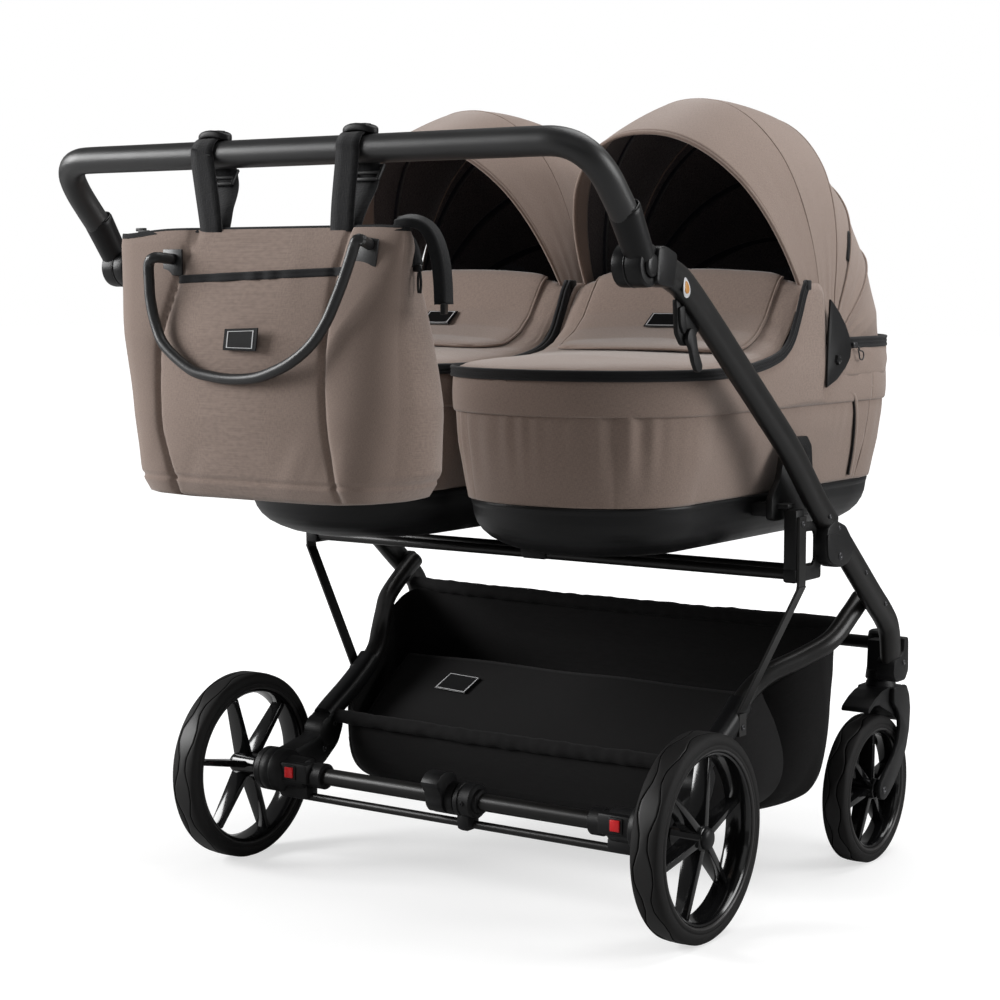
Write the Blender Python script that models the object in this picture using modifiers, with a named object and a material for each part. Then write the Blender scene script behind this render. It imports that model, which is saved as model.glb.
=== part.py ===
"""Side-by-side twin pram: one chassis, two carrycots, a basket and a bag on the handlebar.

Metres, +Z up, +Y the way the pram is pushed, +X the pusher's right. While it is modelled, y = 0 is the
rear axle and z = 0 the ground; the parent empty then carries the whole pram to the middle of its box.
"""

import math

import bmesh
import bpy
from mathutils import Matrix, Vector

# Clearances
GAP = 0.0003                # between pieces that touch
RUNNING_GAP = 0.0005        # between pieces that slide or turn on each other

# Wheels
REAR_WHEEL_R = 0.140
FRONT_WHEEL_R = 0.111
REAR_TYRE_W = 0.045
FRONT_TYRE_W = 0.040
REAR_TRACK_X = 0.396
FRONT_TRACK_X = 0.398
WHEELBASE = 0.507
REAR_RIM_R = 0.1207
FRONT_RIM_R = 0.0937
RIM_WALL = 0.009
SPOKES = 6
WHEEL_SIDES = 28
HUB_R = 0.017
AXLE_R = 0.006

# Caster
CASTER_TRAIL = 0.048
CASTER_COLUMN_R = 0.021
CASTER_COLUMN_LOW = 0.272
CASTER_COLUMN_HIGH = 0.346
CASTER_STEM_R = 0.007
FORK_BLADE_T = 0.007
FORK_CROWN_LOW = 0.232

# Tubes
SIDE_TUBE_X = 0.4375
SIDE_TUBE_HALF_W = 0.0135
SIDE_TUBE_HALF_H = 0.0200
LEG_R = 0.0125
CROSS_TUBE_R = 0.0098
CROSS_TUBE_Z = 0.325
CROSSBAR_R = 0.0075
CROSSBAR_Z = 0.4695
CROSSBAR_YS = (0.2090, 0.2650)
AXLE_TUBE_R = 0.0105
BRAKE_ROD_R = 0.0045
BRAKE_ROD_Z = 0.106

# Side view of the frame, right-hand side
UPPER_TUBE_ROUTE = ((-0.1825, 0.8900), (-0.1500, 0.8800), (-0.1181, 0.8651), (-0.050, 0.8160),
                    (0.0168, 0.7647), (0.0950, 0.7045), (0.1724, 0.6430), (0.2453, 0.5725),
                    (0.2900, 0.5335))
LOWER_TUBE_ROUTE = ((0.3250, 0.5060), (0.3479, 0.4872), (0.4319, 0.4169), (0.4744, 0.3825),
                    (0.4960, 0.3560), (0.5050, 0.3100))
LEG_ROUTE = ((0.4112, 0.453, 0.407), (0.4102, 0.420, 0.387), (0.4040, 0.370, 0.355),
             (0.3800, 0.326, 0.333), (0.3510, 0.279, 0.313), (0.3350, 0.247, 0.288),
             (0.3330, 0.208, 0.258), (0.3320, 0.175, 0.238), (0.3300, 0.130, 0.214),
             (0.3300, 0.103, 0.178))

# Handle
BAR_Y = -0.330
BAR_Z = 1.035
BAR_R = 0.018
HANDLE_X = 0.4335
HANDLE_PIVOT = (-0.211, 0.891)
HUB_DISC_R = 0.027
HUB_DISC_W = 0.0226
YOKE_DISC_W = 0.0190
HANDLE_PIN_R = 0.0085
HANDLE_BUTTON_R = 0.0140
HANDLE_BUTTON_PROUD = 0.0040

# Carrycot, about its own middle plane
COT_X = 0.200
COT_HALF_W = 0.1925
COT_FOOT_Y = -0.118
COT_HEAD_Y = 0.712
COT_FOOT_ROUND = 0.150
COT_HEAD_ROUND = 0.165
COT_RIM_Z = 0.744
COT_SEAM_Z = 0.700
COT_BASE_TOP_Z = 0.577
COT_BASE_DEPTH = 0.074
COT_BASE_HALF_W = 0.168
COT_WALL = 0.014
WING_TOP_Z = 0.868
WING_WALL = 0.0055
MATTRESS_T = 0.045
APRON_ROWS = ((-0.1135, 0.0, 0.0025), (-0.104, 0.0, 0.006), (-0.080, 0.0, 0.008), (-0.040, 0.0, 0.008),
              (0.040, 0.0, 0.008), (0.160, 0.0, 0.008), (0.222, 0.0217, 0.008), (0.262, 0.0497, 0.008),
              (0.288, 0.0857, 0.008), (0.306, 0.1037, 0.008))

# Hood
HOOD_PIVOT = (0.388, 0.758)
HOOD_CLOTH = 0.003
HOOD_HALF_W = 0.1850
HOOD_BULGE_W = 0.1990
HOOD_START_R = 0.036
HOOD_EYE_R = 0.0130
HOOD_PIN_R = 0.0055
HOOD_SPLIT_DEG = 76.0
BRIM_DEG = 122.8
BRIM_Y = 0.378
BRIM_H = 0.383
BOW_DEG = 100.0
BOW_H = 0.3810
HOOD_BACK_BOWS = ((76.0, 0.3640, 2.2), (55.0, 0.3350, 2.3), (35.0, 0.3180, 2.5), (16.0, 0.3150, 2.9),
                  (0.0, 0.3180, 3.2))

# Basket
BASKET_WALL = 0.004
BASKET_BOTTOM_Z = 0.112
BASKET_FRONT_ROLL = (0.430, 0.369)
BASKET_REAR_ROLL = (0.118, 0.203)
BASKET_ROLL_R = 0.011
BASKET_BULGE_X = FRONT_TRACK_X - 0.022
BASKET_ROWS = ((0.0, 0.430, 0.130), (0.25, 0.446, 0.131), (0.50, 0.440, 0.138), (0.72, 0.418, 0.146),
               (0.90, 0.385, 0.154), (1.0, 0.355, 0.160))
WHEEL_ROOM = 0.009          # between the basket and a front wheel that swivels past it

# Bag
BAG_X = -0.037
BAG_BOTTOM_Z = 0.600
BAG_TOP_Z = 0.938
BAG_BOTTOM_HALF_W = 0.176
BAG_TOP_HALF_W = 0.235
BAG_FRONT_Y = -0.410
BAG_BACK_Y = -0.218
BAG_TOP_Y = -0.362
BAG_TOP_HALF_D = 0.012
STRAP_XS = (-0.155, 0.078)
STRAP_W = 0.036
STRAP_T = 0.003
BAG_GRIP_R = 0.0065
BAG_GRIP_Y = -0.4215
BAG_GRIP_TOP = 0.898
BAG_GRIP_DROP = 0.148
BAG_GRIP_XS = (-0.163, 0.155)

# The box of the whole pram runs from the bag's grip to the heads of the carrycots
MIDDLE_Y = (COT_HEAD_Y + BAG_GRIP_Y - BAG_GRIP_R) / 2


for old in list(bpy.data.objects):
    bpy.data.objects.remove(old, do_unlink=True)

parts = bpy.data.collections.new("pram")
bpy.context.scene.collection.children.link(parts)
cutters = bpy.data.collections.new("pram_cutters")
bpy.context.scene.collection.children.link(cutters)

pram = bpy.data.objects.new("pram_frame", None)
pram.location = (0, -MIDDLE_Y, 0)
parts.objects.link(pram)


def finish(name, colour, roughness, metallic=0.0):
    """A plain material with the part's colour and gloss."""
    made = bpy.data.materials.new(name)
    made.use_nodes = True
    shader = made.node_tree.nodes["Principled BSDF"]
    shader.inputs["Base Color"].default_value = (*colour, 1)
    shader.inputs["Roughness"].default_value = roughness
    shader.inputs["Metallic"].default_value = metallic
    return made


FABRIC = finish("taupe_fabric", (0.262, 0.198, 0.165), 0.9)
BLACK_FABRIC = finish("black_fabric", (0.006, 0.006, 0.007), 0.95)
COTTON = finish("white_cotton", (0.75, 0.74, 0.72), 0.9)
FRAME = finish("black_coated_aluminium", (0.018, 0.018, 0.019), 0.45, 0.3)
PLASTIC = finish("black_plastic", (0.015, 0.015, 0.016), 0.5)
LEATHER = finish("black_leatherette", (0.020, 0.019, 0.019), 0.55)
TYRE = finish("tyre_foam", (0.013, 0.013, 0.013), 0.8)
RED = finish("red_plastic", (0.60, 0.012, 0.016), 0.4)
WEBBING = finish("black_webbing", (0.012, 0.011, 0.011), 0.9)


def place(name, data, material, cutter=False):
    """A new object on the pram's empty, in the collection of parts or of cutters."""
    made = bpy.data.objects.new(name, data)
    made.parent = pram
    (cutters if cutter else parts).objects.link(made)
    if cutter:
        made.hide_render = True
        made.display_type = "WIRE"
    else:
        data.materials.append(material)
    return made


def from_bmesh(name, bm, material=None, cutter=False):
    bmesh.ops.recalc_face_normals(bm, faces=bm.faces)
    mesh = bpy.data.meshes.new(name)
    bm.to_mesh(mesh)
    bm.free()
    mesh.shade_smooth()
    mesh.set_sharp_from_angle(angle=math.radians(35))
    return place(name, mesh, material, cutter)


def box(name, low, high, material=None, cutter=False):
    """A box between two opposite corners."""
    low, high = Vector(low), Vector(high)
    size = [abs(high[i] - low[i]) for i in range(3)]
    bm = bmesh.new()
    bmesh.ops.create_cube(bm, size=1)
    bmesh.ops.scale(bm, vec=size, verts=bm.verts)
    bmesh.ops.translate(bm, vec=(low + high) / 2, verts=bm.verts)
    return from_bmesh(name, bm, material, cutter)


def rod(name, start, end, radius, material=None, cutter=False, sides=16, end_radius=None):
    """A round bar or cone between two points."""
    start, end = Vector(start), Vector(end)
    along = end - start
    turn = along.to_track_quat("Z", "X").to_matrix().to_4x4()
    bm = bmesh.new()
    bmesh.ops.create_cone(bm, cap_ends=True, segments=sides, radius1=radius,
                          radius2=radius if end_radius is None else end_radius, depth=along.length)
    bmesh.ops.transform(bm, matrix=Matrix.Translation((start + end) / 2) @ turn, verts=bm.verts)
    return from_bmesh(name, bm, material, cutter)


def loft(name, rings, material=None, cutter=False, ends=True):
    """A closed skin through rings of equal length; without ends, the last ring joins the first."""
    bm = bmesh.new()
    rows = [[bm.verts.new(point) for point in ring] for ring in rings]
    count = len(rows[0])
    pairs = list(zip(rows, rows[1:])) + ([] if ends else [(rows[-1], rows[0])])
    for row, following in pairs:
        for i in range(count):
            j = (i + 1) % count
            bm.faces.new((row[i], row[j], following[j], following[i]))
    if ends:
        bm.faces.new(reversed(rows[0]))
        bm.faces.new(rows[-1])
    return from_bmesh(name, bm, material, cutter)


def smooth_route(points, steps):
    """Points on a Catmull-Rom curve through the given ones."""
    knots = [Vector(p) for p in points]
    knots = [2 * knots[0] - knots[1]] + knots + [2 * knots[-1] - knots[-2]]
    out = []
    for i in range(1, len(knots) - 2):
        before, here, there, after = knots[i - 1:i + 3]
        for k in range(steps):
            t = k / steps
            out.append(0.5 * (2 * here + (there - before) * t
                              + (2 * before - 5 * here + 4 * there - after) * t ** 2
                              + (3 * here - before - 3 * there + after) * t ** 3))
    return out + [knots[-2]]


def lengthened(points, by):
    """The same route, a little longer at both ends, for the room that a tube's end needs in a socket."""
    route = [Vector(p) for p in points]
    route[0] = route[0] + (route[0] - route[1]).normalized() * by
    route[-1] = route[-1] + (route[-1] - route[-2]).normalized() * by
    return route


def curve_object(name, points, material, cutter):
    data = bpy.data.curves.new(name, "CURVE")
    data.dimensions = "3D"
    data.twist_mode = "Z_UP"
    data.use_fill_caps = True
    spline = data.splines.new("POLY")
    spline.points.add(len(points) - 1)
    for point, where in zip(spline.points, points):
        point.co = (*where, 1)
    return place(name, data, material, cutter)


def as_mesh(curve, material=None, cutter=False):
    """The curve's solid as a mesh object with welded caps, in the curve's place."""
    bpy.context.view_layer.update()
    graph = bpy.context.evaluated_depsgraph_get()
    mesh = bpy.data.meshes.new_from_object(curve.evaluated_get(graph))
    name = curve.name
    bm = bmesh.new()
    bm.from_mesh(mesh)
    bmesh.ops.remove_doubles(bm, verts=bm.verts, dist=1e-6)
    bmesh.ops.transform(bm, matrix=curve.matrix_local, verts=bm.verts)
    bpy.data.objects.remove(curve, do_unlink=True)
    return from_bmesh(name, bm, material, cutter)


def tube(name, points, radius, material=None, cutter=False, resolution=2):
    """A round tube along a route."""
    made = curve_object(name, points, material, cutter)
    made.data.bevel_depth = radius
    made.data.bevel_resolution = resolution
    return as_mesh(made, material, cutter)


def oval_tube(name, points, half_w, half_h, material=None, cutter=False, sides=12):
    """A tube of oval section, narrow across X, along a route in the side view."""
    section = bpy.data.curves.new(name + "_section", "CURVE")
    section.dimensions = "2D"
    spline = section.splines.new("POLY")
    spline.points.add(sides - 1)
    spline.use_cyclic_u = True
    for i, point in enumerate(spline.points):
        turn = math.tau * i / sides
        point.co = (half_w * math.cos(turn), half_h * math.sin(turn), 0, 1)
    guide = place(name + "_section", section, None, cutter=True)
    made = curve_object(name, points, material, cutter)
    made.data.bevel_mode = "OBJECT"
    made.data.bevel_object = guide
    solid = as_mesh(made, material, cutter)
    bpy.data.objects.remove(guide, do_unlink=True)
    return solid


def plate(name, outline, x_low, x_high, material=None, cutter=False):
    """A flat outline in the side view (y, z), as thick as the two x values are apart."""
    data = bpy.data.curves.new(name, "CURVE")
    data.dimensions = "2D"
    data.fill_mode = "BOTH"
    data.extrude = abs(x_high - x_low) / 2
    spline = data.splines.new("POLY")
    spline.points.add(len(outline) - 1)
    spline.use_cyclic_u = True
    for point, (y, z) in zip(spline.points, outline):
        point.co = (y, z, 0, 1)
    made = place(name, data, material, cutter)
    side_view = Matrix(((0, 0, 1, (x_low + x_high) / 2), (1, 0, 0, 0), (0, 1, 0, 0), (0, 0, 0, 1)))
    made.matrix_local = side_view
    return as_mesh(made, material, cutter)


def boolean(target, tools, operation):
    """Joins the tools to the target, or cuts them out of it."""
    for tool in tools:
        modifier = target.modifiers.new(tool.name, "BOOLEAN")
        modifier.operation = operation
        modifier.object = tool


def join(target, *tools):
    boolean(target, tools, "UNION")


def cut(target, *tools):
    boolean(target, tools, "DIFFERENCE")


def turned(name, profile, x_middle, y, z, material, sides):
    """A ring turned about a line along X, with a flat side down. The profile holds (x offset, radius) pairs."""
    mesh = bpy.data.meshes.new(name)
    bm = bmesh.new()
    corners = [bm.verts.new((radius, 0, offset)) for offset, radius in profile]
    for here, there in zip(corners, corners[1:] + corners[:1]):
        bm.edges.new((here, there))
    bm.to_mesh(mesh)
    bm.free()
    made = place(name, mesh, material)
    made.rotation_mode = "ZYX"
    made.rotation_euler = (math.pi / sides, math.radians(90), 0)
    made.location = (x_middle, y, z)
    screw = made.modifiers.new("turned", "SCREW")
    screw.axis = "Z"
    screw.steps = sides
    screw.render_steps = sides
    screw.use_merge_vertices = True
    screw.merge_threshold = 1e-5
    screw.use_normal_calculate = True
    return made


SIDES = ((1, "right"), (-1, "left"))


def across(side, inner, outer):
    """The two x values of a piece that reaches from inner to outer on one side of the pram."""
    return sorted((side * inner, side * outer))


# Wheels: a foam tyre on a moulded rim of six spokes

def tyre(name, x, y, radius, width, rim_radius):
    flat_radius = radius / math.cos(math.pi / WHEEL_SIDES)
    seat = rim_radius - 0.003 + GAP
    profile = ((0.30 * width, flat_radius), (-0.30 * width, flat_radius),
               (-0.45 * width, flat_radius - 0.006), (-0.50 * width, flat_radius - 0.013),
               (-0.40 * width, seat), (0.40 * width, seat),
               (0.50 * width, flat_radius - 0.013), (0.45 * width, flat_radius - 0.006))
    return turned(name, profile, x, y, radius, TYRE, WHEEL_SIDES)


def rim(name, side, x, y, radius, width, rim_radius, bore_out):
    seat = rim_radius - 0.003
    half = 0.39 * width
    ring = ((half, seat), (-half, seat), (-half, seat - RIM_WALL), (half, seat - RIM_WALL))
    made = turned(name, ring, x, y, radius, PLASTIC, WHEEL_SIDES)
    hub_in, hub_out = x - side * 0.034, x + side * 0.020
    hub = rod(name + "_hub", (hub_in, y, radius), (hub_out, y, radius), HUB_R, cutter=True)
    reach = seat - RIM_WALL / 2
    spokes = []
    for i in range(SPOKES):
        turn = math.tau * (i + 0.15) / SPOKES
        out = Vector((0, math.cos(turn), math.sin(turn)))
        middle = Vector((x, y, radius))
        spokes.append(rod(f"{name}_spoke_{i}", middle + out * 0.006, middle + out * reach, 0.0085,
                          cutter=True, sides=4, end_radius=0.0060))
    join(made, hub, *spokes)
    bore_in = hub_in - side * 0.01
    cut(made, rod(name + "_bore", (bore_in, y, radius), (bore_out, y, radius), AXLE_R + RUNNING_GAP,
                  cutter=True, sides=12))
    return made


for side, hand in SIDES:
    rear_x = side * REAR_TRACK_X
    front_x = side * FRONT_TRACK_X
    tyre(f"rear_tyre_{hand}", rear_x, 0, REAR_WHEEL_R, REAR_TYRE_W, REAR_RIM_R)
    rim(f"rear_rim_{hand}", side, rear_x, 0, REAR_WHEEL_R, REAR_TYRE_W, REAR_RIM_R,
        side * (REAR_TRACK_X + 0.015))
    tyre(f"front_tyre_{hand}", front_x, WHEELBASE, FRONT_WHEEL_R, FRONT_TYRE_W, FRONT_RIM_R)


# Front rims turn between the blades of their fork, so their hub is no wider than the tyre

def front_rim(name, x, y, radius, width, rim_radius):
    seat = rim_radius - 0.003
    half = 0.39 * width
    ring = ((half, seat), (-half, seat), (-half, seat - RIM_WALL), (half, seat - RIM_WALL))
    made = turned(name, ring, x, y, radius, PLASTIC, WHEEL_SIDES)
    hub_half = width / 2
    hub = rod(name + "_hub", (x - hub_half, y, radius), (x + hub_half, y, radius), 0.015, cutter=True)
    reach = seat - RIM_WALL / 2
    spokes = []
    for i in range(SPOKES):
        turn = math.tau * (i + 0.4) / SPOKES
        out = Vector((0, math.cos(turn), math.sin(turn)))
        middle = Vector((x, y, radius))
        spokes.append(rod(f"{name}_spoke_{i}", middle + out * 0.006, middle + out * reach, 0.0080,
                          cutter=True, sides=4, end_radius=0.0055))
    join(made, hub, *spokes)
    cut(made, rod(name + "_bore", (x - 0.05, y, radius), (x + 0.05, y, radius), AXLE_R + RUNNING_GAP,
                  cutter=True, sides=12))
    return made


for side, hand in SIDES:
    front_rim(f"front_rim_{hand}", side * FRONT_TRACK_X, WHEELBASE, FRONT_WHEEL_R, FRONT_TYRE_W, FRONT_RIM_R)


# Casters: a fork with two blades and a short mudguard, whose stem turns in the column of the frame
CASTER_Y = WHEELBASE + CASTER_TRAIL
BLADE_IN = FRONT_TYRE_W / 2 + 0.0035
BLADE_OUT = BLADE_IN + FORK_BLADE_T
BLADE_OUTLINE = ((0.494, 0.100), (0.492, 0.116), (0.500, 0.126), (0.545, 0.165), (0.563, 0.200),
                 (0.560, 0.228), (0.540, 0.240), (0.540, 0.262), (0.586, 0.262), (0.598, 0.225),
                 (0.594, 0.185), (0.574, 0.145), (0.535, 0.106), (0.514, 0.096))
GUARD_OUTLINE = ((0.555, 0.240), (0.555, 0.261), (0.520, 0.258), (0.485, 0.244), (0.456, 0.228),
                 (0.462, 0.225), (0.490, 0.2335), (0.520, 0.240))
GUARD_REACH = CASTER_Y - min(y for y, z in GUARD_OUTLINE)

for side, hand in SIDES:
    middle_x = side * FRONT_TRACK_X
    fork = rod(f"front_fork_{hand}", (middle_x, CASTER_Y, FORK_CROWN_LOW),
               (middle_x, CASTER_Y, CASTER_COLUMN_LOW - GAP), CASTER_COLUMN_R + 0.004, PLASTIC,
               sides=20, end_radius=CASTER_COLUMN_R)
    blades = []
    for edge in (-1, 1):
        low, high = sorted((middle_x + edge * BLADE_IN, middle_x + edge * BLADE_OUT))
        blades.append(plate(f"fork_blade_{hand}_{edge}", BLADE_OUTLINE, low, high, cutter=True))
    crown = box(f"fork_crown_{hand}", (middle_x - BLADE_OUT + 0.001, CASTER_Y - 0.014, 0.238),
                (middle_x + BLADE_OUT - 0.001, CASTER_Y + 0.030, 0.261), cutter=True)
    guard = plate(f"fork_guard_{hand}", GUARD_OUTLINE, middle_x - 0.022, middle_x + 0.022, cutter=True)
    stem = rod(f"fork_stem_{hand}", (middle_x, CASTER_Y, CASTER_COLUMN_LOW - 0.01),
               (middle_x, CASTER_Y, CASTER_COLUMN_HIGH - 0.012), CASTER_STEM_R, cutter=True, sides=12)
    axle = rod(f"fork_axle_{hand}", (middle_x - BLADE_OUT + 0.002, WHEELBASE, FRONT_WHEEL_R),
               (middle_x + BLADE_OUT - 0.002, WHEELBASE, FRONT_WHEEL_R), AXLE_R, cutter=True, sides=12)
    join(fork, *blades, crown, guard, stem, axle)


# Side frames: upper tube, hinge housing, lower tube, and the column and cup at the caster

def side_route(side, route, x=SIDE_TUBE_X):
    return [(side * x, y, z) for y, z in route]


HINGE_OUTLINE = ((0.2620, 0.530), (0.2850, 0.541), (0.3180, 0.530), (0.3400, 0.508), (0.3440, 0.492),
                 (0.3300, 0.476), (0.3085, 0.4715), (0.2858, 0.4735), (0.2680, 0.480), (0.2585, 0.490),
                 (0.2560, 0.508))
SKIN = 0.0015
CATCH_X = SIDE_TUBE_X - 0.0015
CATCH_PIVOT = (-0.1053, 0.8026)
LEVER_OUTLINE = ((-0.010, 0.003), (-0.004, 0.011), (0.005, 0.011), (0.011, 0.002), (0.016, -0.016),
                 (0.028, -0.037), (0.024, -0.044), (0.014, -0.044), (0.006, -0.033), (-0.002, -0.013),
                 (-0.011, -0.005))

for side, hand in SIDES:
    upper_route = smooth_route(side_route(side, UPPER_TUBE_ROUTE), 1)
    lower_route = smooth_route(side_route(side, LOWER_TUBE_ROUTE), 2)
    upper = oval_tube(f"upper_tube_{hand}", upper_route, SIDE_TUBE_HALF_W, SIDE_TUBE_HALF_H, FRAME)
    oval_tube(f"lower_tube_{hand}", lower_route, SIDE_TUBE_HALF_W, SIDE_TUBE_HALF_H, FRAME)
    upper_room = oval_tube(f"upper_room_{hand}", lengthened(upper_route, GAP), SIDE_TUBE_HALF_W + GAP,
                           SIDE_TUBE_HALF_H + GAP, cutter=True)
    lower_room = oval_tube(f"lower_room_{hand}", lengthened(lower_route, GAP), SIDE_TUBE_HALF_W + GAP,
                           SIDE_TUBE_HALF_H + GAP, cutter=True)

    low, high = across(side, SIDE_TUBE_X - SIDE_TUBE_HALF_W + 0.0006, SIDE_TUBE_X + SIDE_TUBE_HALF_W + SKIN)
    hinge = plate(f"fold_hinge_{hand}", HINGE_OUTLINE, low, high, PLASTIC)
    cut(hinge, upper_room, lower_room)

    column = rod(f"caster_column_{hand}", (side * FRONT_TRACK_X, CASTER_Y, CASTER_COLUMN_LOW),
                 (side * FRONT_TRACK_X, CASTER_Y, CASTER_COLUMN_HIGH), CASTER_COLUMN_R, PLASTIC, sides=20)
    cup = plate(f"caster_cup_{hand}", ((0.484, 0.292), (0.478, 0.343), (0.522, 0.346), (0.540, 0.330),
                                       (0.540, 0.292), (0.528, 0.280), (0.494, 0.280)),
                *across(side, SIDE_TUBE_X - SIDE_TUBE_HALF_W - SKIN, SIDE_TUBE_X + SIDE_TUBE_HALF_W + SKIN),
                cutter=True)
    web = box(f"caster_web_{hand}", (side * (FRONT_TRACK_X + 0.004), 0.515, 0.290),
              (side * (SIDE_TUBE_X - 0.008), CASTER_Y, 0.335), cutter=True)
    join(column, cup, web)
    cut(column, rod(f"stem_room_{hand}", (side * FRONT_TRACK_X, CASTER_Y, CASTER_COLUMN_LOW - 0.02),
                    (side * FRONT_TRACK_X, CASTER_Y, CASTER_COLUMN_HIGH - 0.011),
                    CASTER_STEM_R + RUNNING_GAP, cutter=True, sides=12), lower_room)

    # Catch lever for the fold, hung under the tube on a pin of its bracket
    bracket = plate(f"catch_bracket_{hand}", ((-0.1326, 0.858), (-0.1287, 0.8075), (-0.1151, 0.7919),
                                              (-0.0955, 0.7919), (-0.0740, 0.8134), (-0.0700, 0.830)),
                    *across(side, CATCH_X - 0.0060, CATCH_X), cutter=True)
    pin = rod(f"catch_pin_{hand}", (side * (CATCH_X - 0.003), *CATCH_PIVOT),
              (side * (CATCH_X + 0.0075), *CATCH_PIVOT), 0.003, cutter=True, sides=10)
    join(upper, bracket, pin)
    lever = plate(f"fold_lever_{hand}", [(CATCH_PIVOT[0] + y, CATCH_PIVOT[1] + z) for y, z in LEVER_OUTLINE],
                  *across(side, CATCH_X + RUNNING_GAP, CATCH_X + 0.0072), PLASTIC)
    cut(lever, rod(f"lever_room_{hand}", (side * (CATCH_X - 0.02), *CATCH_PIVOT),
                   (side * (CATCH_X + 0.02), *CATCH_PIVOT), 0.003 + RUNNING_GAP, cutter=True, sides=10))

rod("front_cross_tube", (-(FRONT_TRACK_X - 0.012), CASTER_Y, CROSS_TUBE_Z),
    (FRONT_TRACK_X - 0.012, CASTER_Y, CROSS_TUBE_Z), CROSS_TUBE_R, FRAME, sides=14)
for side, hand in SIDES:
    cut(bpy.data.objects[f"caster_column_{hand}"],
        rod(f"cross_room_{hand}", (side * (FRONT_TRACK_X - 0.05), CASTER_Y, CROSS_TUBE_Z),
            (side * (FRONT_TRACK_X - 0.012 + GAP), CASTER_Y, CROSS_TUBE_Z), CROSS_TUBE_R + GAP,
            cutter=True, sides=14))


# Rear legs, and the housings at the axle's ends that hold them, the brake rod and the wheel stubs
HOUSING_IN = 0.236
HOUSING_OUT = 0.352
HOUSING_ARM_XS = (0.3130, 0.3470)
BUTTON_X = 0.284
BUTTON_W = 0.010
BUTTON_H = 0.015
BUTTON_FACE_Y = -0.0255

for side, hand in SIDES:
    leg_route = smooth_route([(side * x, y, z) for x, y, z in LEG_ROUTE], 1)
    tube(f"rear_leg_{hand}", leg_route, LEG_R, FRAME)
    leg_room = tube(f"leg_room_{hand}", lengthened(leg_route, GAP), LEG_R + GAP, cutter=True)

    housing = rod(f"axle_housing_{hand}", (side * HOUSING_IN, 0, REAR_WHEEL_R),
                  (side * HOUSING_OUT, 0, REAR_WHEEL_R), 0.0235, PLASTIC, sides=20)
    foot = box(f"housing_foot_{hand}", (side * 0.262, -0.016, 0.098), (side * (HOUSING_OUT - 0.002), 0.018, 0.130),
               cutter=True)
    arm = plate(f"housing_arm_{hand}", ((0.000, 0.124), (0.090, 0.136), (0.126, 0.160), (0.138, 0.190),
                                        (0.122, 0.212), (0.104, 0.208), (0.080, 0.176), (0.000, 0.161)),
                *across(side, *HOUSING_ARM_XS), cutter=True)
    stub = rod(f"wheel_stub_{hand}", (side * (HOUSING_OUT - 0.005), 0, REAR_WHEEL_R),
               (side * (REAR_TRACK_X + 0.012), 0, REAR_WHEEL_R), AXLE_R, cutter=True, sides=12)
    join(housing, foot, arm, stub)
    button_room = box(f"button_room_{hand}",
                      (side * (BUTTON_X - BUTTON_W / 2 - RUNNING_GAP), BUTTON_FACE_Y - 0.01,
                       0.145 - BUTTON_H / 2 - RUNNING_GAP),
                      (side * (BUTTON_X + BUTTON_W / 2 + RUNNING_GAP), BUTTON_FACE_Y + 0.011,
                       0.145 + BUTTON_H / 2 + RUNNING_GAP), cutter=True)
    axle_room = rod(f"axle_room_{hand}", (side * 0.20, 0, REAR_WHEEL_R), (side * 0.262, 0, REAR_WHEEL_R),
                    AXLE_TUBE_R + GAP, cutter=True, sides=14)
    rod_room = rod(f"rod_room_{hand}", (side * 0.24, 0, BRAKE_ROD_Z), (side * 0.280, 0, BRAKE_ROD_Z),
                   BRAKE_ROD_R + GAP, cutter=True, sides=10)
    cut(housing, leg_room, button_room, axle_room, rod_room)
    box(f"release_button_{hand}", (side * (BUTTON_X - BUTTON_W / 2), BUTTON_FACE_Y, 0.145 - BUTTON_H / 2),
        (side * (BUTTON_X + BUTTON_W / 2), BUTTON_FACE_Y + 0.008, 0.145 + BUTTON_H / 2), RED)

rod("rear_axle", (-0.262 + GAP, 0, REAR_WHEEL_R), (0.262 - GAP, 0, REAR_WHEEL_R), AXLE_TUBE_R, FRAME,
    sides=14)
rod("brake_rod", (-0.280 + GAP, 0, BRAKE_ROD_Z), (0.280 - GAP, 0, BRAKE_ROD_Z), BRAKE_ROD_R, FRAME,
    sides=10)


# Brake: a fixed collar on the axle, and a rocking pedal beside it
PEDAL_LOW_X, PEDAL_HIGH_X = -0.034, 0.011
COLLAR_LOW_X, COLLAR_HIGH_X = 0.0115, 0.060
axle_hole = rod("brake_axle_room", (-0.1, 0, REAR_WHEEL_R), (0.12, 0, REAR_WHEEL_R), AXLE_TUBE_R + GAP,
                cutter=True, sides=14)
rod_hole = rod("brake_rod_room", (-0.1, 0, BRAKE_ROD_Z), (0.12, 0, BRAKE_ROD_Z), BRAKE_ROD_R + GAP,
               cutter=True, sides=10)
collar = rod("brake_collar", (COLLAR_LOW_X, 0, REAR_WHEEL_R), (COLLAR_HIGH_X, 0, REAR_WHEEL_R), 0.0265,
             PLASTIC, sides=20)
join(collar, box("collar_foot", (COLLAR_LOW_X + 0.0015, -0.014, 0.096), (COLLAR_HIGH_X - 0.014, 0.014, 0.130),
                 cutter=True))
cut(collar, axle_hole, rod_hole)

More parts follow.
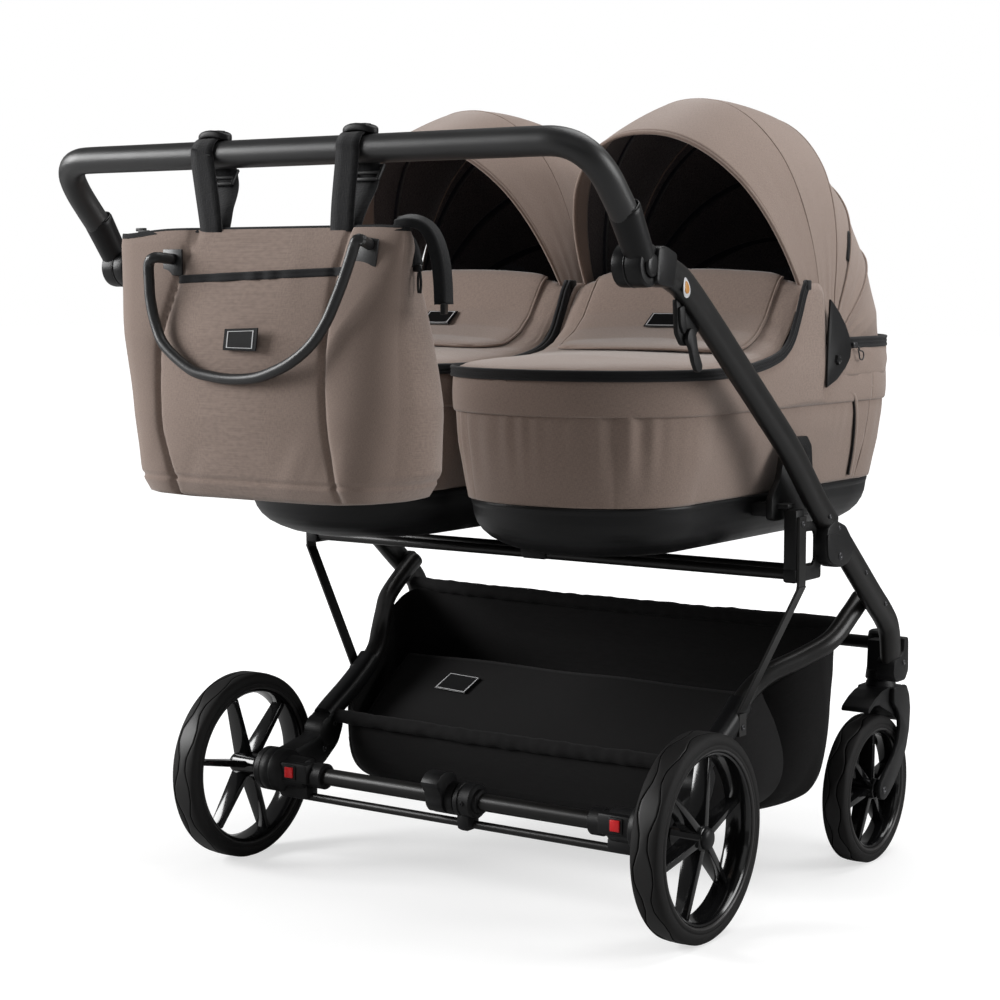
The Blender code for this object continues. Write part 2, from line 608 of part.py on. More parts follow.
pedal = rod("brake_pedal", (PEDAL_LOW_X, 0, REAR_WHEEL_R), (PEDAL_HIGH_X, 0, REAR_WHEEL_R), 0.0245,
            PLASTIC, sides=20)
join(pedal, plate("pedal_tread", ((0.010, 0.150), (-0.004, 0.170), (-0.022, 0.178), (-0.048, 0.170),
                                  (-0.062, 0.158), (-0.060, 0.150), (-0.040, 0.150), (-0.016, 0.132)),
                  PEDAL_LOW_X + 0.001, PEDAL_HIGH_X - 0.001, cutter=True))
pedal_hole = rod("pedal_axle_room", (-0.1, 0, REAR_WHEEL_R), (0.12, 0, REAR_WHEEL_R),
                 AXLE_TUBE_R + RUNNING_GAP, cutter=True, sides=14)
cut(pedal, pedal_hole)


# Carrycot posts, the bars between them, and the flat struts down to the legs
POST_IN = 0.4145
POST_OUT = 0.4345
POST_PLATE_OUT = SIDE_TUBE_X - SIDE_TUBE_HALF_W - 0.0006
POST_TOP_Z = 0.560
POST_YS = (0.1985, 0.2225)
STRUT_IN = POST_OUT + GAP
STRUT_T = 0.0035
STRUT_TOP_Z = 0.551
STRUT_PIVOT = (0.2115, 0.5404)
LEG_STRUT_X = 0.3330 + LEG_R + 0.0006
WINDOW_OUTLINE = ((POST_YS[0] + 0.004, 0.4610), (0.268, 0.4610), (0.281, 0.4660), (0.287, 0.4790),
                  (0.287, 0.5080), (0.258, 0.5310), (POST_YS[0] + 0.004, 0.5400))
WINDOW_HOLE = ((POST_YS[1], 0.4900), (0.2600, 0.4900), (0.2600, 0.5180), (0.2540, 0.5220), (POST_YS[1], 0.5260))
STRUT_OUTLINE = ((0.2010, STRUT_TOP_Z - 0.005), (0.2060, STRUT_TOP_Z), (0.2165, STRUT_TOP_Z),
                 (0.2215, STRUT_TOP_Z - 0.005), (0.2215, 0.4515), (0.2175, 0.272), (0.2175, 0.240),
                 (0.2125, 0.234), (0.2055, 0.234), (0.2005, 0.240), (0.2005, 0.272), (0.2010, 0.4515))

for side, hand in SIDES:
    post = box(f"cot_post_{hand}", (side * POST_IN, POST_YS[0], 0.460), (side * POST_OUT, POST_YS[1], POST_TOP_Z),
               PLASTIC)
    window = plate(f"post_window_{hand}", WINDOW_OUTLINE, *across(side, POST_IN + 0.0008, POST_PLATE_OUT),
                   cutter=True)
    hole = plate(f"post_hole_{hand}", WINDOW_HOLE, *across(side, POST_IN - 0.01, POST_OUT + 0.01), cutter=True)
    boss = rod(f"post_boss_{hand}", (side * (POST_OUT - 0.004), *STRUT_PIVOT),
               (side * (STRUT_IN + STRUT_T + 0.0020), *STRUT_PIVOT), 0.0035, cutter=True, sides=10)
    join(post, window)
    cut(post, hole)
    join(post, boss)
    strut = plate(f"strut_{hand}", STRUT_OUTLINE, 0, STRUT_T, FRAME)
    for corner in strut.data.vertices:
        share = min(max((corner.co.z - 0.272) / (0.4515 - 0.272), 0), 1)
        depth = LEG_STRUT_X + (STRUT_IN - LEG_STRUT_X) * share + corner.co.x
        corner.co.x = side * depth
    if side < 0:
        strut.data.flip_normals()
    cut(strut, rod(f"strut_hole_{hand}", (side * 0.41, *STRUT_PIVOT), (side * 0.46, *STRUT_PIVOT),
                   0.0035 + GAP, cutter=True, sides=10))

# The two bars are welded to a middle post that carries the inner edges of both carrycots
bars = [rod(name, (-(POST_IN - GAP), y, CROSSBAR_Z), (POST_IN - GAP, y, CROSSBAR_Z), CROSSBAR_R,
            cutter=name != "cot_bars", material=FRAME, sides=12)
        for name, y in zip(("cot_bars", "cot_bar_front"), CROSSBAR_YS)]
saddle = plate("cot_saddle", ((CROSSBAR_YS[0] - 0.0110, 0.4585), (CROSSBAR_YS[1] + 0.0110, 0.4585),
                              (CROSSBAR_YS[1] + 0.0110, 0.4805), (CROSSBAR_YS[0] - 0.0110, 0.4805)),
               -0.0300, 0.0300, cutter=True)
middle_post = box("cot_middle_post", (-0.0240, POST_YS[0] + 0.0008, 0.4700), (0.0240, POST_YS[1], POST_TOP_Z),
                  cutter=True)
join(bars[0], bars[1], saddle, middle_post)


# Handle: a padded bar between two yokes that turn on hubs at the tops of the side frames
HUB_OUT = HANDLE_X + 0.0130
HUB_IN = HUB_OUT - HUB_DISC_W
YOKE_OUT = HUB_IN - GAP
YOKE_IN = YOKE_OUT - YOKE_DISC_W
PIVOT_Y, PIVOT_Z = HANDLE_PIVOT
BAR_ROUTE = ((HANDLE_X, -0.233, 0.929), (HANDLE_X, -0.252, 0.951), (HANDLE_X - 0.0002, -0.273, 0.974),
             (HANDLE_X - 0.0020, -0.293, 0.996), (HANDLE_X - 0.0095, -0.311, 1.015),
             (HANDLE_X - 0.0245, -0.323, 1.028), (HANDLE_X - 0.0455, BAR_Y + 0.001, BAR_Z - 0.001),
             (HANDLE_X - 0.0735, BAR_Y, BAR_Z))
bar_route = [Vector(p) for p in BAR_ROUTE]
bar_route += [Vector((-p.x, p.y, p.z)) for p in reversed(bar_route)]
tube("handlebar", bar_route, BAR_R, LEATHER, resolution=3)
bar_room = tube("bar_room", lengthened(bar_route, GAP), BAR_R + GAP, cutter=True, resolution=3)

for side, hand in SIDES:
    hub = rod(f"handle_hub_{hand}", (side * HUB_IN, PIVOT_Y, PIVOT_Z), (side * HUB_OUT, PIVOT_Y, PIVOT_Z),
              HUB_DISC_R, PLASTIC, sides=24)
    pin = rod(f"handle_pin_{hand}", (side * (HUB_IN + 0.004), PIVOT_Y, PIVOT_Z),
              (side * (HUB_IN - 0.0100), PIVOT_Y, PIVOT_Z), HANDLE_PIN_R, cutter=True)
    hub_collar = plate(f"hub_collar_{hand}", ((-0.2000, 0.8740), (-0.1960, 0.9150), (-0.1560, 0.9080),
                                              (-0.1640, 0.8600)),
                       *across(side, HUB_IN + 0.0008, SIDE_TUBE_X + SIDE_TUBE_HALF_W + SKIN), cutter=True)
    knob_room = rod(f"knob_room_{hand}", (side * (HUB_OUT + 0.01), PIVOT_Y, PIVOT_Z),
                    (side * (HUB_OUT - 0.0085), PIVOT_Y, PIVOT_Z), HANDLE_BUTTON_R + RUNNING_GAP, cutter=True)
    join(hub, hub_collar)
    cut(hub, knob_room, bpy.data.objects[f"upper_room_{hand}"])
    join(hub, pin)

    yoke = rod(f"handle_yoke_{hand}", (side * YOKE_IN, PIVOT_Y, PIVOT_Z), (side * YOKE_OUT, PIVOT_Y, PIVOT_Z),
               HUB_DISC_R, PLASTIC, sides=24)
    low = Vector((side * HANDLE_X, PIVOT_Y - 0.006, PIVOT_Z + 0.010))
    high = Vector((side * HANDLE_X, -0.2535, 0.9575))
    sleeve = rod(f"yoke_sleeve_{hand}", low, high, 0.0195, cutter=True, sides=18, end_radius=0.0205)
    hub_clear = rod(f"hub_room_{hand}", (side * YOKE_OUT, PIVOT_Y, PIVOT_Z),
                    (side * (YOKE_OUT + 0.05), PIVOT_Y, PIVOT_Z), HUB_DISC_R + 0.003, cutter=True, sides=24)
    pin_room = rod(f"pin_room_{hand}", (side * (YOKE_OUT + 0.01), PIVOT_Y, PIVOT_Z),
                   (side * (YOKE_OUT - 0.0103), PIVOT_Y, PIVOT_Z), HANDLE_PIN_R + RUNNING_GAP, cutter=True)
    join(yoke, sleeve)
    cut(yoke, hub_clear, pin_room, bar_room)
    rod(f"handle_button_{hand}", (side * (HUB_OUT - 0.0045), PIVOT_Y, PIVOT_Z),
        (side * (HUB_OUT + HANDLE_BUTTON_PROUD), PIVOT_Y, PIVOT_Z), HANDLE_BUTTON_R, PLASTIC, sides=20)


# Carrycots: a moulded tray, fabric walls, a mattress, an apron over the feet, and a hood in two halves

def cot_ring(middle, half, foot, head, z, steps=8):
    """The cot's outline at one height: straight sides and rounded ends."""
    points = []
    for end_y, round_y, start in ((head, -COT_HEAD_ROUND, 0), (foot, COT_FOOT_ROUND, math.pi)):
        centre = end_y + round_y
        for i in range(steps + 1):
            turn = start + math.pi * i / steps
            points.append((middle + half * math.cos(turn), centre + abs(round_y) * math.sin(turn), z))
    return points


def tray_ring(middle, share, drop):
    """One ring of the tray: the rim's outline drawn in by a share, lower by the drop."""
    pull = COT_FOOT_ROUND * (1 - share)
    half = COT_BASE_HALF_W * (1 - 0.8 * (1 - share))
    return cot_ring(middle, half, COT_FOOT_Y + 0.012 + 1.1 * pull, COT_HEAD_Y - 0.014 - 1.1 * pull,
                    COT_BASE_TOP_Z - drop)


def wall_ring(middle, z, inset):
    """One ring of the fabric wall, which leans out from the tray to the seam."""
    share = min((z - COT_BASE_TOP_Z) / (COT_SEAM_Z - COT_BASE_TOP_Z), 1)
    lean = (COT_HALF_W - COT_BASE_HALF_W) * (1 - share) ** 1.6
    return cot_ring(middle, COT_HALF_W - lean - inset, COT_FOOT_Y + lean / 2 + inset,
                    COT_HEAD_Y - lean / 2 - inset, z)


def arch(middle, centre_y, degrees, height, half, power, inset, steps=14):
    """One bow of the hood: half an oval in a plane that leans at the given angle, cut off near its pivot."""
    lean = math.radians(degrees)
    start = math.asin((HOOD_START_R / height) ** (power / 2))
    points = []
    for i in range(steps + 1):
        turn = start + (math.pi - 2 * start) * i / steps
        high = math.sin(turn)
        out = (height - inset) * high ** (2 / power)
        swell = (HOOD_BULGE_W - HOOD_HALF_W) * min(max((high - 0.25) / 0.5, 0), 1)
        x = (half + swell - inset) * math.copysign(abs(math.cos(turn)) ** (2 / power), math.cos(turn))
        points.append((middle + x, centre_y + out * math.cos(lean), HOOD_PIVOT[1] + out * math.sin(lean)))
    return points


def shell_ring(middle, centre_y, degrees, height, half, power=2.2):
    """The outer and the inner line of the cloth along one bow, as one closed ring."""
    outer = arch(middle, centre_y, degrees, height, half, power, 0)
    inner = arch(middle, centre_y, degrees, height, half, power, HOOD_CLOTH)
    return outer + inner[::-1]


def fan(radius, low_deg, high_deg, steps=4):
    """Points on an arc about the hood's pivot, in the side view."""
    out = []
    for i in range(steps + 1):
        turn = math.radians(low_deg + (high_deg - low_deg) * i / steps)
        out.append((HOOD_PIVOT[0] + radius * math.cos(turn), HOOD_PIVOT[1] + radius * math.sin(turn)))
    return out


def halfway(one, other):
    """The values midway between two bows, so that the cloth between them keeps its curve."""
    return tuple((a + b) / 2 for a, b in zip(one, other))


WING_OUTLINE = ((0.205, 0.725), (0.215, 0.750), (0.258, 0.784), (0.280, 0.835), (0.292, WING_TOP_Z - 0.006),
                (0.302, WING_TOP_Z), (0.336, WING_TOP_Z), (0.352, WING_TOP_Z - 0.012), (0.364, 0.820),
                (0.372, 0.752), (0.372, 0.725))
HOOD_BACK_HALF_W = HOOD_HALF_W - HOOD_CLOTH - 0.0025


def apron_ring(middle, y, z_top, half, thick):
    """One slice across the apron: crowned above, parallel below."""
    top, bottom = [], []
    steps = 8
    for i in range(steps + 1):
        across_share = 2 * i / steps - 1
        crown = 0.010 * (1 - across_share ** 2)
        x = middle + half * across_share
        top.append((x, y, z_top + crown))
        bottom.append((x, y + thick * 0.35, z_top + crown - thick))
    return top + bottom[::-1]


def plan_half(y, inset):
    """Half the width of the rim's plan at a place along its foot end."""
    centre = COT_FOOT_Y + COT_FOOT_ROUND
    share = min(max((centre - y) / (COT_FOOT_ROUND - inset), 0), 1)
    return (COT_HALF_W - inset) * math.sqrt(max(1 - share ** 2, 0))


for side, hand in SIDES:
    middle = side * COT_X
    tray = loft(f"carrycot_tray_{hand}",
                [tray_ring(middle, 1.0, GAP), tray_ring(middle, 0.975, 0.022), tray_ring(middle, 0.90, 0.044),
                 tray_ring(middle, 0.78, 0.060), tray_ring(middle, 0.55, COT_BASE_DEPTH)], PLASTIC)
    inner = box(f"adaptor_inner_{hand}", (side * 0.0015, POST_YS[0] + 0.0010, POST_TOP_Z + GAP),
                (side * (COT_X - 0.120), POST_YS[1] - 0.0010, POST_TOP_Z + 0.0100), cutter=True)
    outer = box(f"adaptor_outer_{hand}", (side * (COT_X + 0.120), POST_YS[0] + 0.0010, POST_TOP_Z + GAP),
                (side * (POST_PLATE_OUT - 0.0010), POST_YS[1] - 0.0010, POST_TOP_Z + 0.0070), cutter=True)
    ear = plate(f"adaptor_ear_{hand}", ((0.186, 0.575), (0.190, 0.545), (0.300, 0.545), (0.308, 0.575),
                                        (0.304, 0.640), (0.292, 0.656), (0.238, 0.656), (0.222, 0.644)),
                *across(side, COT_X + COT_HALF_W + 0.0006, COT_X + COT_HALF_W + 0.0110), cutter=True)
    rib = box(f"adaptor_rib_{hand}", (side * (COT_X + 0.125), 0.2300, 0.5480),
              (side * (COT_X + COT_HALF_W + 0.0030), 0.2950, 0.5700), cutter=True)
    join(tray, inner, outer, rib, ear)

    low_z = COT_BASE_TOP_Z + GAP
    levels = (low_z, low_z + 0.045, COT_SEAM_Z, COT_RIM_Z)
    body = loft(f"carrycot_body_{hand}",
                [wall_ring(middle, z, 0) for z in levels]
                + [wall_ring(middle, z, COT_WALL) for z in reversed(levels)], FABRIC, ends=False)
    for edge in (-1, 1):
        outer = middle + edge * (COT_HALF_W - 0.0004)
        inner = middle + edge * (COT_HALF_W - 0.0004 - WING_WALL)
        join(body, plate(f"cot_wing_{hand}_{edge}", WING_OUTLINE, *sorted((outer, inner)), cutter=True))

    bed_inset = COT_WALL + COT_HALF_W - COT_BASE_HALF_W + 0.001
    loft(f"mattress_{hand}",
         [cot_ring(middle, COT_HALF_W - bed_inset, COT_FOOT_Y + bed_inset, COT_HEAD_Y - bed_inset, z)
          for z in (low_z, low_z + MATTRESS_T)], COTTON)

    apron_rows = []
    for y, lift, thick in APRON_ROWS:
        z_top = COT_RIM_Z + GAP + thick + lift
        inset = 0.0040 if y < 0.17 else COT_WALL
        apron_rows.append(apron_ring(middle, y, z_top, plan_half(y, 0.0040) + 0.0040 - inset, thick))
    loft(f"apron_{hand}", apron_rows, FABRIC)

    split_h = HOOD_BACK_BOWS[0][1] + HOOD_CLOTH + 0.0012
    brim = (BRIM_Y, BRIM_DEG, BRIM_H)
    bow = ((BRIM_Y + HOOD_PIVOT[0]) / 2, BOW_DEG, BOW_H)
    split = (HOOD_PIVOT[0], HOOD_SPLIT_DEG, split_h)
    rows = (brim, halfway(brim, bow), bow, halfway(bow, split), split)
    front = loft(f"hood_front_{hand}", [shell_ring(middle, *row, HOOD_HALF_W) for row in rows], FABRIC)
    low_ring = [(x, y, COT_RIM_Z + GAP) for x, y, z in
                shell_ring(middle, HOOD_PIVOT[0], 0.0, HOOD_BACK_BOWS[-1][1], HOOD_BACK_HALF_W,
                           HOOD_BACK_BOWS[-1][2])]
    back = loft(f"hood_back_{hand}",
                [shell_ring(middle, HOOD_PIVOT[0], degrees, height, HOOD_BACK_HALF_W, power)
                 for degrees, height, power in HOOD_BACK_BOWS] + [low_ring], FABRIC)
    for edge in (-1, 1):
        eye_out = middle + edge * (HOOD_HALF_W + 0.0004)
        eye_in = middle + edge * (HOOD_HALF_W - HOOD_CLOTH + 0.0003)
        eye = plate(f"hood_eye_{hand}_{edge}", fan(0.052, 78, 118) + fan(HOOD_EYE_R, 170, 370, 8),
                    *sorted((eye_out, eye_in)), cutter=True)
        join(front, eye)
        cut(front, rod(f"hood_eye_room_{hand}_{edge}", (middle + edge * 0.150, *HOOD_PIVOT),
                       (middle + edge * 0.210, *HOOD_PIVOT), HOOD_PIN_R + RUNNING_GAP, cutter=True,
                       sides=12))
        cheek_out = middle + edge * (HOOD_BACK_HALF_W + 0.0003)
        cheek_in = middle + edge * (HOOD_BACK_HALF_W - HOOD_CLOTH + 0.0004)
        foot_y, low_z = HOOD_PIVOT[0] + 0.058, COT_RIM_Z + GAP + 0.0006
        cheek = plate(f"hood_cheek_{hand}_{edge}",
                      [(foot_y, low_z)] + fan(0.052, 6, 72) + fan(0.0125, 90, 180)
                      + [(HOOD_PIVOT[0] - 0.0125, low_z)],
                      *sorted((cheek_out, cheek_in)), cutter=True)
        join(back, cheek, rod(f"hood_pin_{hand}_{edge}", (middle + edge * (HOOD_BACK_HALF_W - 0.0015), *HOOD_PIVOT),
                              (middle + edge * (HOOD_HALF_W + 0.0010), *HOOD_PIVOT), HOOD_PIN_R, cutter=True,
                              sides=12))


# Basket: a sling of black cloth that hangs from a rolled edge at the front and at the back

def leg_inner_x(y):
    """How far out the basket may reach beside the leg and its housing, at a place along them."""
    places = sorted((py, px) for px, py, _ in LEG_ROUTE)
    leg_x = places[-1][1]
    for (y0, x0), (y1, x1) in zip(places, places[1:]):
        if y <= y1:
            leg_x = x0 + (x1 - x0) * max(y - y0, 0) / (y1 - y0)
            break
    return min(leg_x - LEG_R - 0.0010, HOUSING_ARM_XS[0] - 0.0020 + max(y - 0.160, 0) * 2)


FRONT_ROLL_Y, FRONT_ROLL_Z = BASKET_FRONT_ROLL
REAR_ROLL_Y, REAR_ROLL_Z = BASKET_REAR_ROLL


def clear_of_wheel(x, y, z):
    """The place moved away from a caster's axis until the wheel and its fork can swivel past it."""
    reach = GUARD_REACH if z < FORK_CROWN_LOW + 0.04 else 0.0
    if z < 2 * FRONT_WHEEL_R:
        reach = max(reach, CASTER_TRAIL + math.sqrt(FRONT_WHEEL_R ** 2 - (z - FRONT_WHEEL_R) ** 2))
    axis = Vector((math.copysign(FRONT_TRACK_X, x), CASTER_Y, z))
    away = Vector((x, y, z)) - axis
    room = math.hypot(reach, FRONT_TYRE_W / 2) + WHEEL_ROOM
    if reach and away.length < room:
        return axis + away.normalized() * room
    return Vector((x, y, z))


def basket_ring(row):
    """One ring of the basket's outside; depth 0 is its sloping mouth and 1 its floor."""
    depth, front_y, rear_y = row
    sag = math.sin(min(depth * 1.15, 1) * math.pi / 2)
    steps_side, steps_end = 7, 4
    points = []

    def add(x, y):
        slope = min((y - REAR_ROLL_Y) / (FRONT_ROLL_Y - REAR_ROLL_Y), 1)
        mouth_z = REAR_ROLL_Z + (FRONT_ROLL_Z - REAR_ROLL_Z) * slope
        points.append(clear_of_wheel(x, y, mouth_z + (BASKET_BOTTOM_Z - mouth_z) * sag))

    def half_at(y):
        mouth = leg_inner_x(y)
        swell = max(BASKET_BULGE_X - mouth, 0) * math.sin(math.pi * min(depth * 1.2, 1))
        swell *= min(max((y - 0.170) / 0.09, 0), 1)
        corner = 0.060 * max(y - 0.370, 0) ** 2 / 0.080 ** 2 * min(4 * depth, 1)
        return mouth + swell - 0.070 * depth ** 3 - corner

    ys = [rear_y + (front_y - rear_y) * i / steps_side for i in range(steps_side + 1)]
    for y in ys:
        add(half_at(y), y)
    for i in range(1, steps_end):
        add(half_at(front_y) * (1 - 2 * i / steps_end), front_y + 0.006 * min(2 * depth, 1))
    for y in reversed(ys):
        add(-half_at(y), y)
    for i in range(1, steps_end):
        add(-half_at(rear_y) * (1 - 2 * i / steps_end), rear_y)
    return points


def basket_cup():
    """The basket's outside as an open cup, which a Solidify gives its thickness inward."""
    bm = bmesh.new()
    rows = [[bm.verts.new(point) for point in basket_ring(row)] for row in BASKET_ROWS]
    count = len(rows[0])
    for row, following in zip(rows, rows[1:]):
        for i in range(count):
            j = (i + 1) % count
            bm.faces.new((row[i], following[i], following[j], row[j]))
    bm.faces.new(rows[-1])
    made = from_bmesh("basket", bm, BLACK_FABRIC)
    wall = made.modifiers.new("wall", "SOLIDIFY")
    wall.thickness = BASKET_WALL
    wall.offset = -1
    return made


basket = basket_cup()
front_roll_x = leg_inner_x(FRONT_ROLL_Y) + 0.001 - GAP
rear_roll_x = leg_inner_x(REAR_ROLL_Y) - GAP
join(basket, rod("basket_front_roll", (-front_roll_x, FRONT_ROLL_Y, FRONT_ROLL_Z),
                 (front_roll_x, FRONT_ROLL_Y, FRONT_ROLL_Z), BASKET_ROLL_R, cutter=True, sides=12),
     rod("basket_rear_roll", (-rear_roll_x, REAR_ROLL_Y + 0.006, REAR_ROLL_Z),
         (rear_roll_x, REAR_ROLL_Y + 0.006, REAR_ROLL_Z), BASKET_ROLL_R, cutter=True, sides=12))


# Bag: a padded shopper whose two straps hang on the bar, with a round grip on its front

def bag_ring(share):
    """One ring of the bag; share 0 is its bottom and 1 its zipped top."""
    z = BAG_BOTTOM_Z + (BAG_TOP_Z - BAG_BOTTOM_Z) * share
    half_w = BAG_BOTTOM_HALF_W + (BAG_TOP_HALF_W - BAG_BOTTOM_HALF_W) * share ** 1.1
    ease = share ** 1.5
    belly = 0.004 * math.sin(math.pi * share)
    front = BAG_FRONT_Y + (BAG_TOP_Y - BAG_TOP_HALF_D - BAG_FRONT_Y) * ease - belly
    back = BAG_BACK_Y + (BAG_TOP_Y + BAG_TOP_HALF_D - BAG_BACK_Y) * ease + belly
    if share == 0:
        half_w, front, back = half_w - 0.006, front + 0.006, back - 0.006
    middle_y, half_d = (front + back) / 2, (back - front) / 2
    points = []
    steps = 24
    for i in range(steps):
        turn = math.tau * i / steps
        c, s = math.cos(turn), math.sin(turn)
        x = half_w * math.copysign(abs(c) ** 0.22, c)
        y = half_d * math.copysign(abs(s) ** 0.28, s)
        points.append((BAG_X + x, middle_y + y, z))
    return points


bag = loft("bag", [bag_ring(share) for share in (0, 0.05, 0.3, 0.6, 0.85, 1.0)], FABRIC)
for i, x in enumerate(BAG_GRIP_XS):
    join(bag, box(f"grip_tab_{i}", (x - 0.012, BAG_GRIP_Y + BAG_GRIP_R + GAP, BAG_GRIP_TOP - 0.014),
                  (x + 0.012, BAG_TOP_Y - 0.002, BAG_GRIP_TOP + 0.012), cutter=True))

for i, x in enumerate(STRAP_XS):
    hand = ("left", "right")[i]
    outer, inner = [], []
    steps = 12
    for k in range(steps + 1):
        turn = math.radians(-20 + 220 * k / steps)
        for radius, row in ((BAR_R + 0.001 + STRAP_T, outer), (BAR_R + 0.001, inner)):
            row.append((BAR_Y + radius * math.cos(turn), BAR_Z + radius * math.sin(turn)))
    foot = [(BAG_TOP_Y - 0.010, BAG_TOP_Z + GAP), (BAG_TOP_Y + 0.010, BAG_TOP_Z + GAP)]
    strap = plate(f"bag_strap_{hand}", outer + foot, x - STRAP_W / 2, x + STRAP_W / 2, WEBBING)
    eye = [(BAG_TOP_Y - 0.004, BAG_TOP_Z + 0.008), (BAG_TOP_Y + 0.004, BAG_TOP_Z + 0.008)]
    cut(strap, plate(f"strap_room_{hand}", inner + eye, x - STRAP_W, x + STRAP_W, cutter=True))

grip_low_x, grip_high_x = BAG_GRIP_XS
grip_route = []
for i in range(15):
    share = i / 14
    turn = math.pi * share
    grip_route.append((grip_low_x + (grip_high_x - grip_low_x) * (1 - math.cos(turn)) / 2, BAG_GRIP_Y,
                       BAG_GRIP_TOP - BAG_GRIP_DROP * math.sin(turn) ** 0.75))
tube("bag_grip", grip_route, BAG_GRIP_R, LEATHER)
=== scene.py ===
"""The looks of a side-by-side twin pram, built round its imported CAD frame. Metres, +Z up, +Y forward."""

import math

import bmesh
import bpy
import numpy as np
from mathutils import Matrix, Vector, noise


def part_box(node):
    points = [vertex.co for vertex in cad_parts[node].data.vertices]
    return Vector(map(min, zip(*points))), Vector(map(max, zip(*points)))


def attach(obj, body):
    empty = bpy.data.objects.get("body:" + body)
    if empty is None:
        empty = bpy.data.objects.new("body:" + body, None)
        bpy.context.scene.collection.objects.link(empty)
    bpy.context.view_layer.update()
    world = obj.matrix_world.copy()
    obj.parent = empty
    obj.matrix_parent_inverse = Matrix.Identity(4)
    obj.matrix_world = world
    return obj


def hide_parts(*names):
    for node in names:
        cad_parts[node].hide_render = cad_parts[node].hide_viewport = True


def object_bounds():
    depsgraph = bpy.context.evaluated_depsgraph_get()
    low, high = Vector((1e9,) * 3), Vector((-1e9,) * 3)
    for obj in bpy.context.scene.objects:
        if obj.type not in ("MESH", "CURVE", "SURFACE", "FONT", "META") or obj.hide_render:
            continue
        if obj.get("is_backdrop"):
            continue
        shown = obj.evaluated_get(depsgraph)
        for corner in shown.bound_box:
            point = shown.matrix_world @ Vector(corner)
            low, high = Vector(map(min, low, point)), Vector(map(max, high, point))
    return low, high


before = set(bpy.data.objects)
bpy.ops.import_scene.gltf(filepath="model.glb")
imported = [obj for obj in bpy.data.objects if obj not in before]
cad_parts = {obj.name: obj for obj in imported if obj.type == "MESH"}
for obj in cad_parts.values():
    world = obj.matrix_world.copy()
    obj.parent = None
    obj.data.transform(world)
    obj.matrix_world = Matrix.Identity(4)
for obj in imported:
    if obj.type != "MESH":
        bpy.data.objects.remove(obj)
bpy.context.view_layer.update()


# Studio: a pale seamless floor under soft lamps, seen from the pusher's right at about waist height.
# The floor and the world read as white to the camera, and the floor keeps the pram's soft shadow.

def feed(tree, made, inputs):
    """Sets a node's inputs, each to a value or to another node's output."""
    for socket, value in inputs.items():
        if isinstance(value, bpy.types.NodeSocket):
            tree.links.new(value, made.inputs[socket])
        else:
            made.inputs[socket].default_value = value


def node(tree, kind, inputs, **settings):
    """A new shader node with its settings and inputs."""
    made = tree.nodes.new(f"ShaderNode{kind}")
    for setting, value in settings.items():
        setattr(made, setting, value)
    feed(tree, made, inputs)
    return made


floor_paint = bpy.data.materials.new("studio_floor")
floor_paint.use_nodes = True
tree = floor_paint.node_tree
away = node(tree, "VectorMath", {0: node(tree, "TexCoord", {}).outputs["Object"]}, operation="LENGTH")
paler = node(tree, "MapRange", {"Value": away.outputs["Value"], "From Min": 0.75, "From Max": 2.6,
                                "To Min": 0.62, "To Max": 1.05}, interpolation_type="SMOOTHSTEP")
seen_by = node(tree, "LightPath", {}).outputs
glow = node(tree, "Math", {0: seen_by["Is Camera Ray"], 1: paler.outputs["Result"]}, operation="MULTIPLY")
feed(tree, tree.nodes["Principled BSDF"], {
    "Base Color": (0.46, 0.46, 0.46, 1), "Roughness": 0.9, "Specular IOR Level": 0.0,
    "Emission Color": (1, 1, 1, 1), "Emission Strength": glow.outputs[0]})

FLOOR_HALF = 30
FLOOR_BELOW = 0.0005
bm = bmesh.new()
bmesh.ops.create_grid(bm, x_segments=1, y_segments=1, size=FLOOR_HALF)
floor_mesh = bpy.data.meshes.new("studio_floor")
bm.to_mesh(floor_mesh)
bm.free()
floor_mesh.materials.append(floor_paint)
studio_floor = bpy.data.objects.new("studio_floor", floor_mesh)
studio_floor.data.transform(Matrix.Translation((0, 0, -FLOOR_BELOW)))
bpy.context.scene.collection.objects.link(studio_floor)
studio_floor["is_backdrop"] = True

world = bpy.context.scene.world or bpy.data.worlds.new("studio")
bpy.context.scene.world = world
world.use_nodes = True
tree = world.node_tree
seen_by = node(tree, "LightPath", {}).outputs
shown = node(tree, "Math", {0: seen_by["Is Camera Ray"], 1: seen_by["Is Transmission Ray"]}, operation="MAXIMUM")
level = node(tree, "MapRange", {"Value": shown.outputs[0], "To Min": 0.16, "To Max": 1.0})
feed(tree, tree.nodes["Background"], {"Color": (1, 1, 1, 1), "Strength": level.outputs[0]})


def aimed(name, data, place, target):
    """Sets up a lamp or a camera at a place, turned to its target."""
    made = bpy.data.objects.new(name, data)
    made.location = place
    made.rotation_mode = "QUATERNION"
    made.rotation_quaternion = (Vector(target) - Vector(place)).to_track_quat("-Z", "Y")
    bpy.context.scene.collection.objects.link(made)
    return made


for name, place, target, size, power in (("key_lamp", (-3.1, -2.1, 1.9), (0, -0.1, 0.7), 1.7, 165),
                                         ("top_lamp", (0.5, 0.9, 3.4), (0, 0, 0.6), 2.4, 68),
                                         ("side_lamp", (3.3, 1.3, 1.6), (0.1, 0.1, 0.7), 1.8, 80),
                                         ("fill_lamp", (1.6, -3.2, 2.4), (0, 0, 0.7), 2.4, 8)):
    light = bpy.data.lights.new(name, "AREA")
    light.shape = "SQUARE"
    light.size = size
    light.energy = power
    aimed(name, light, place, target)

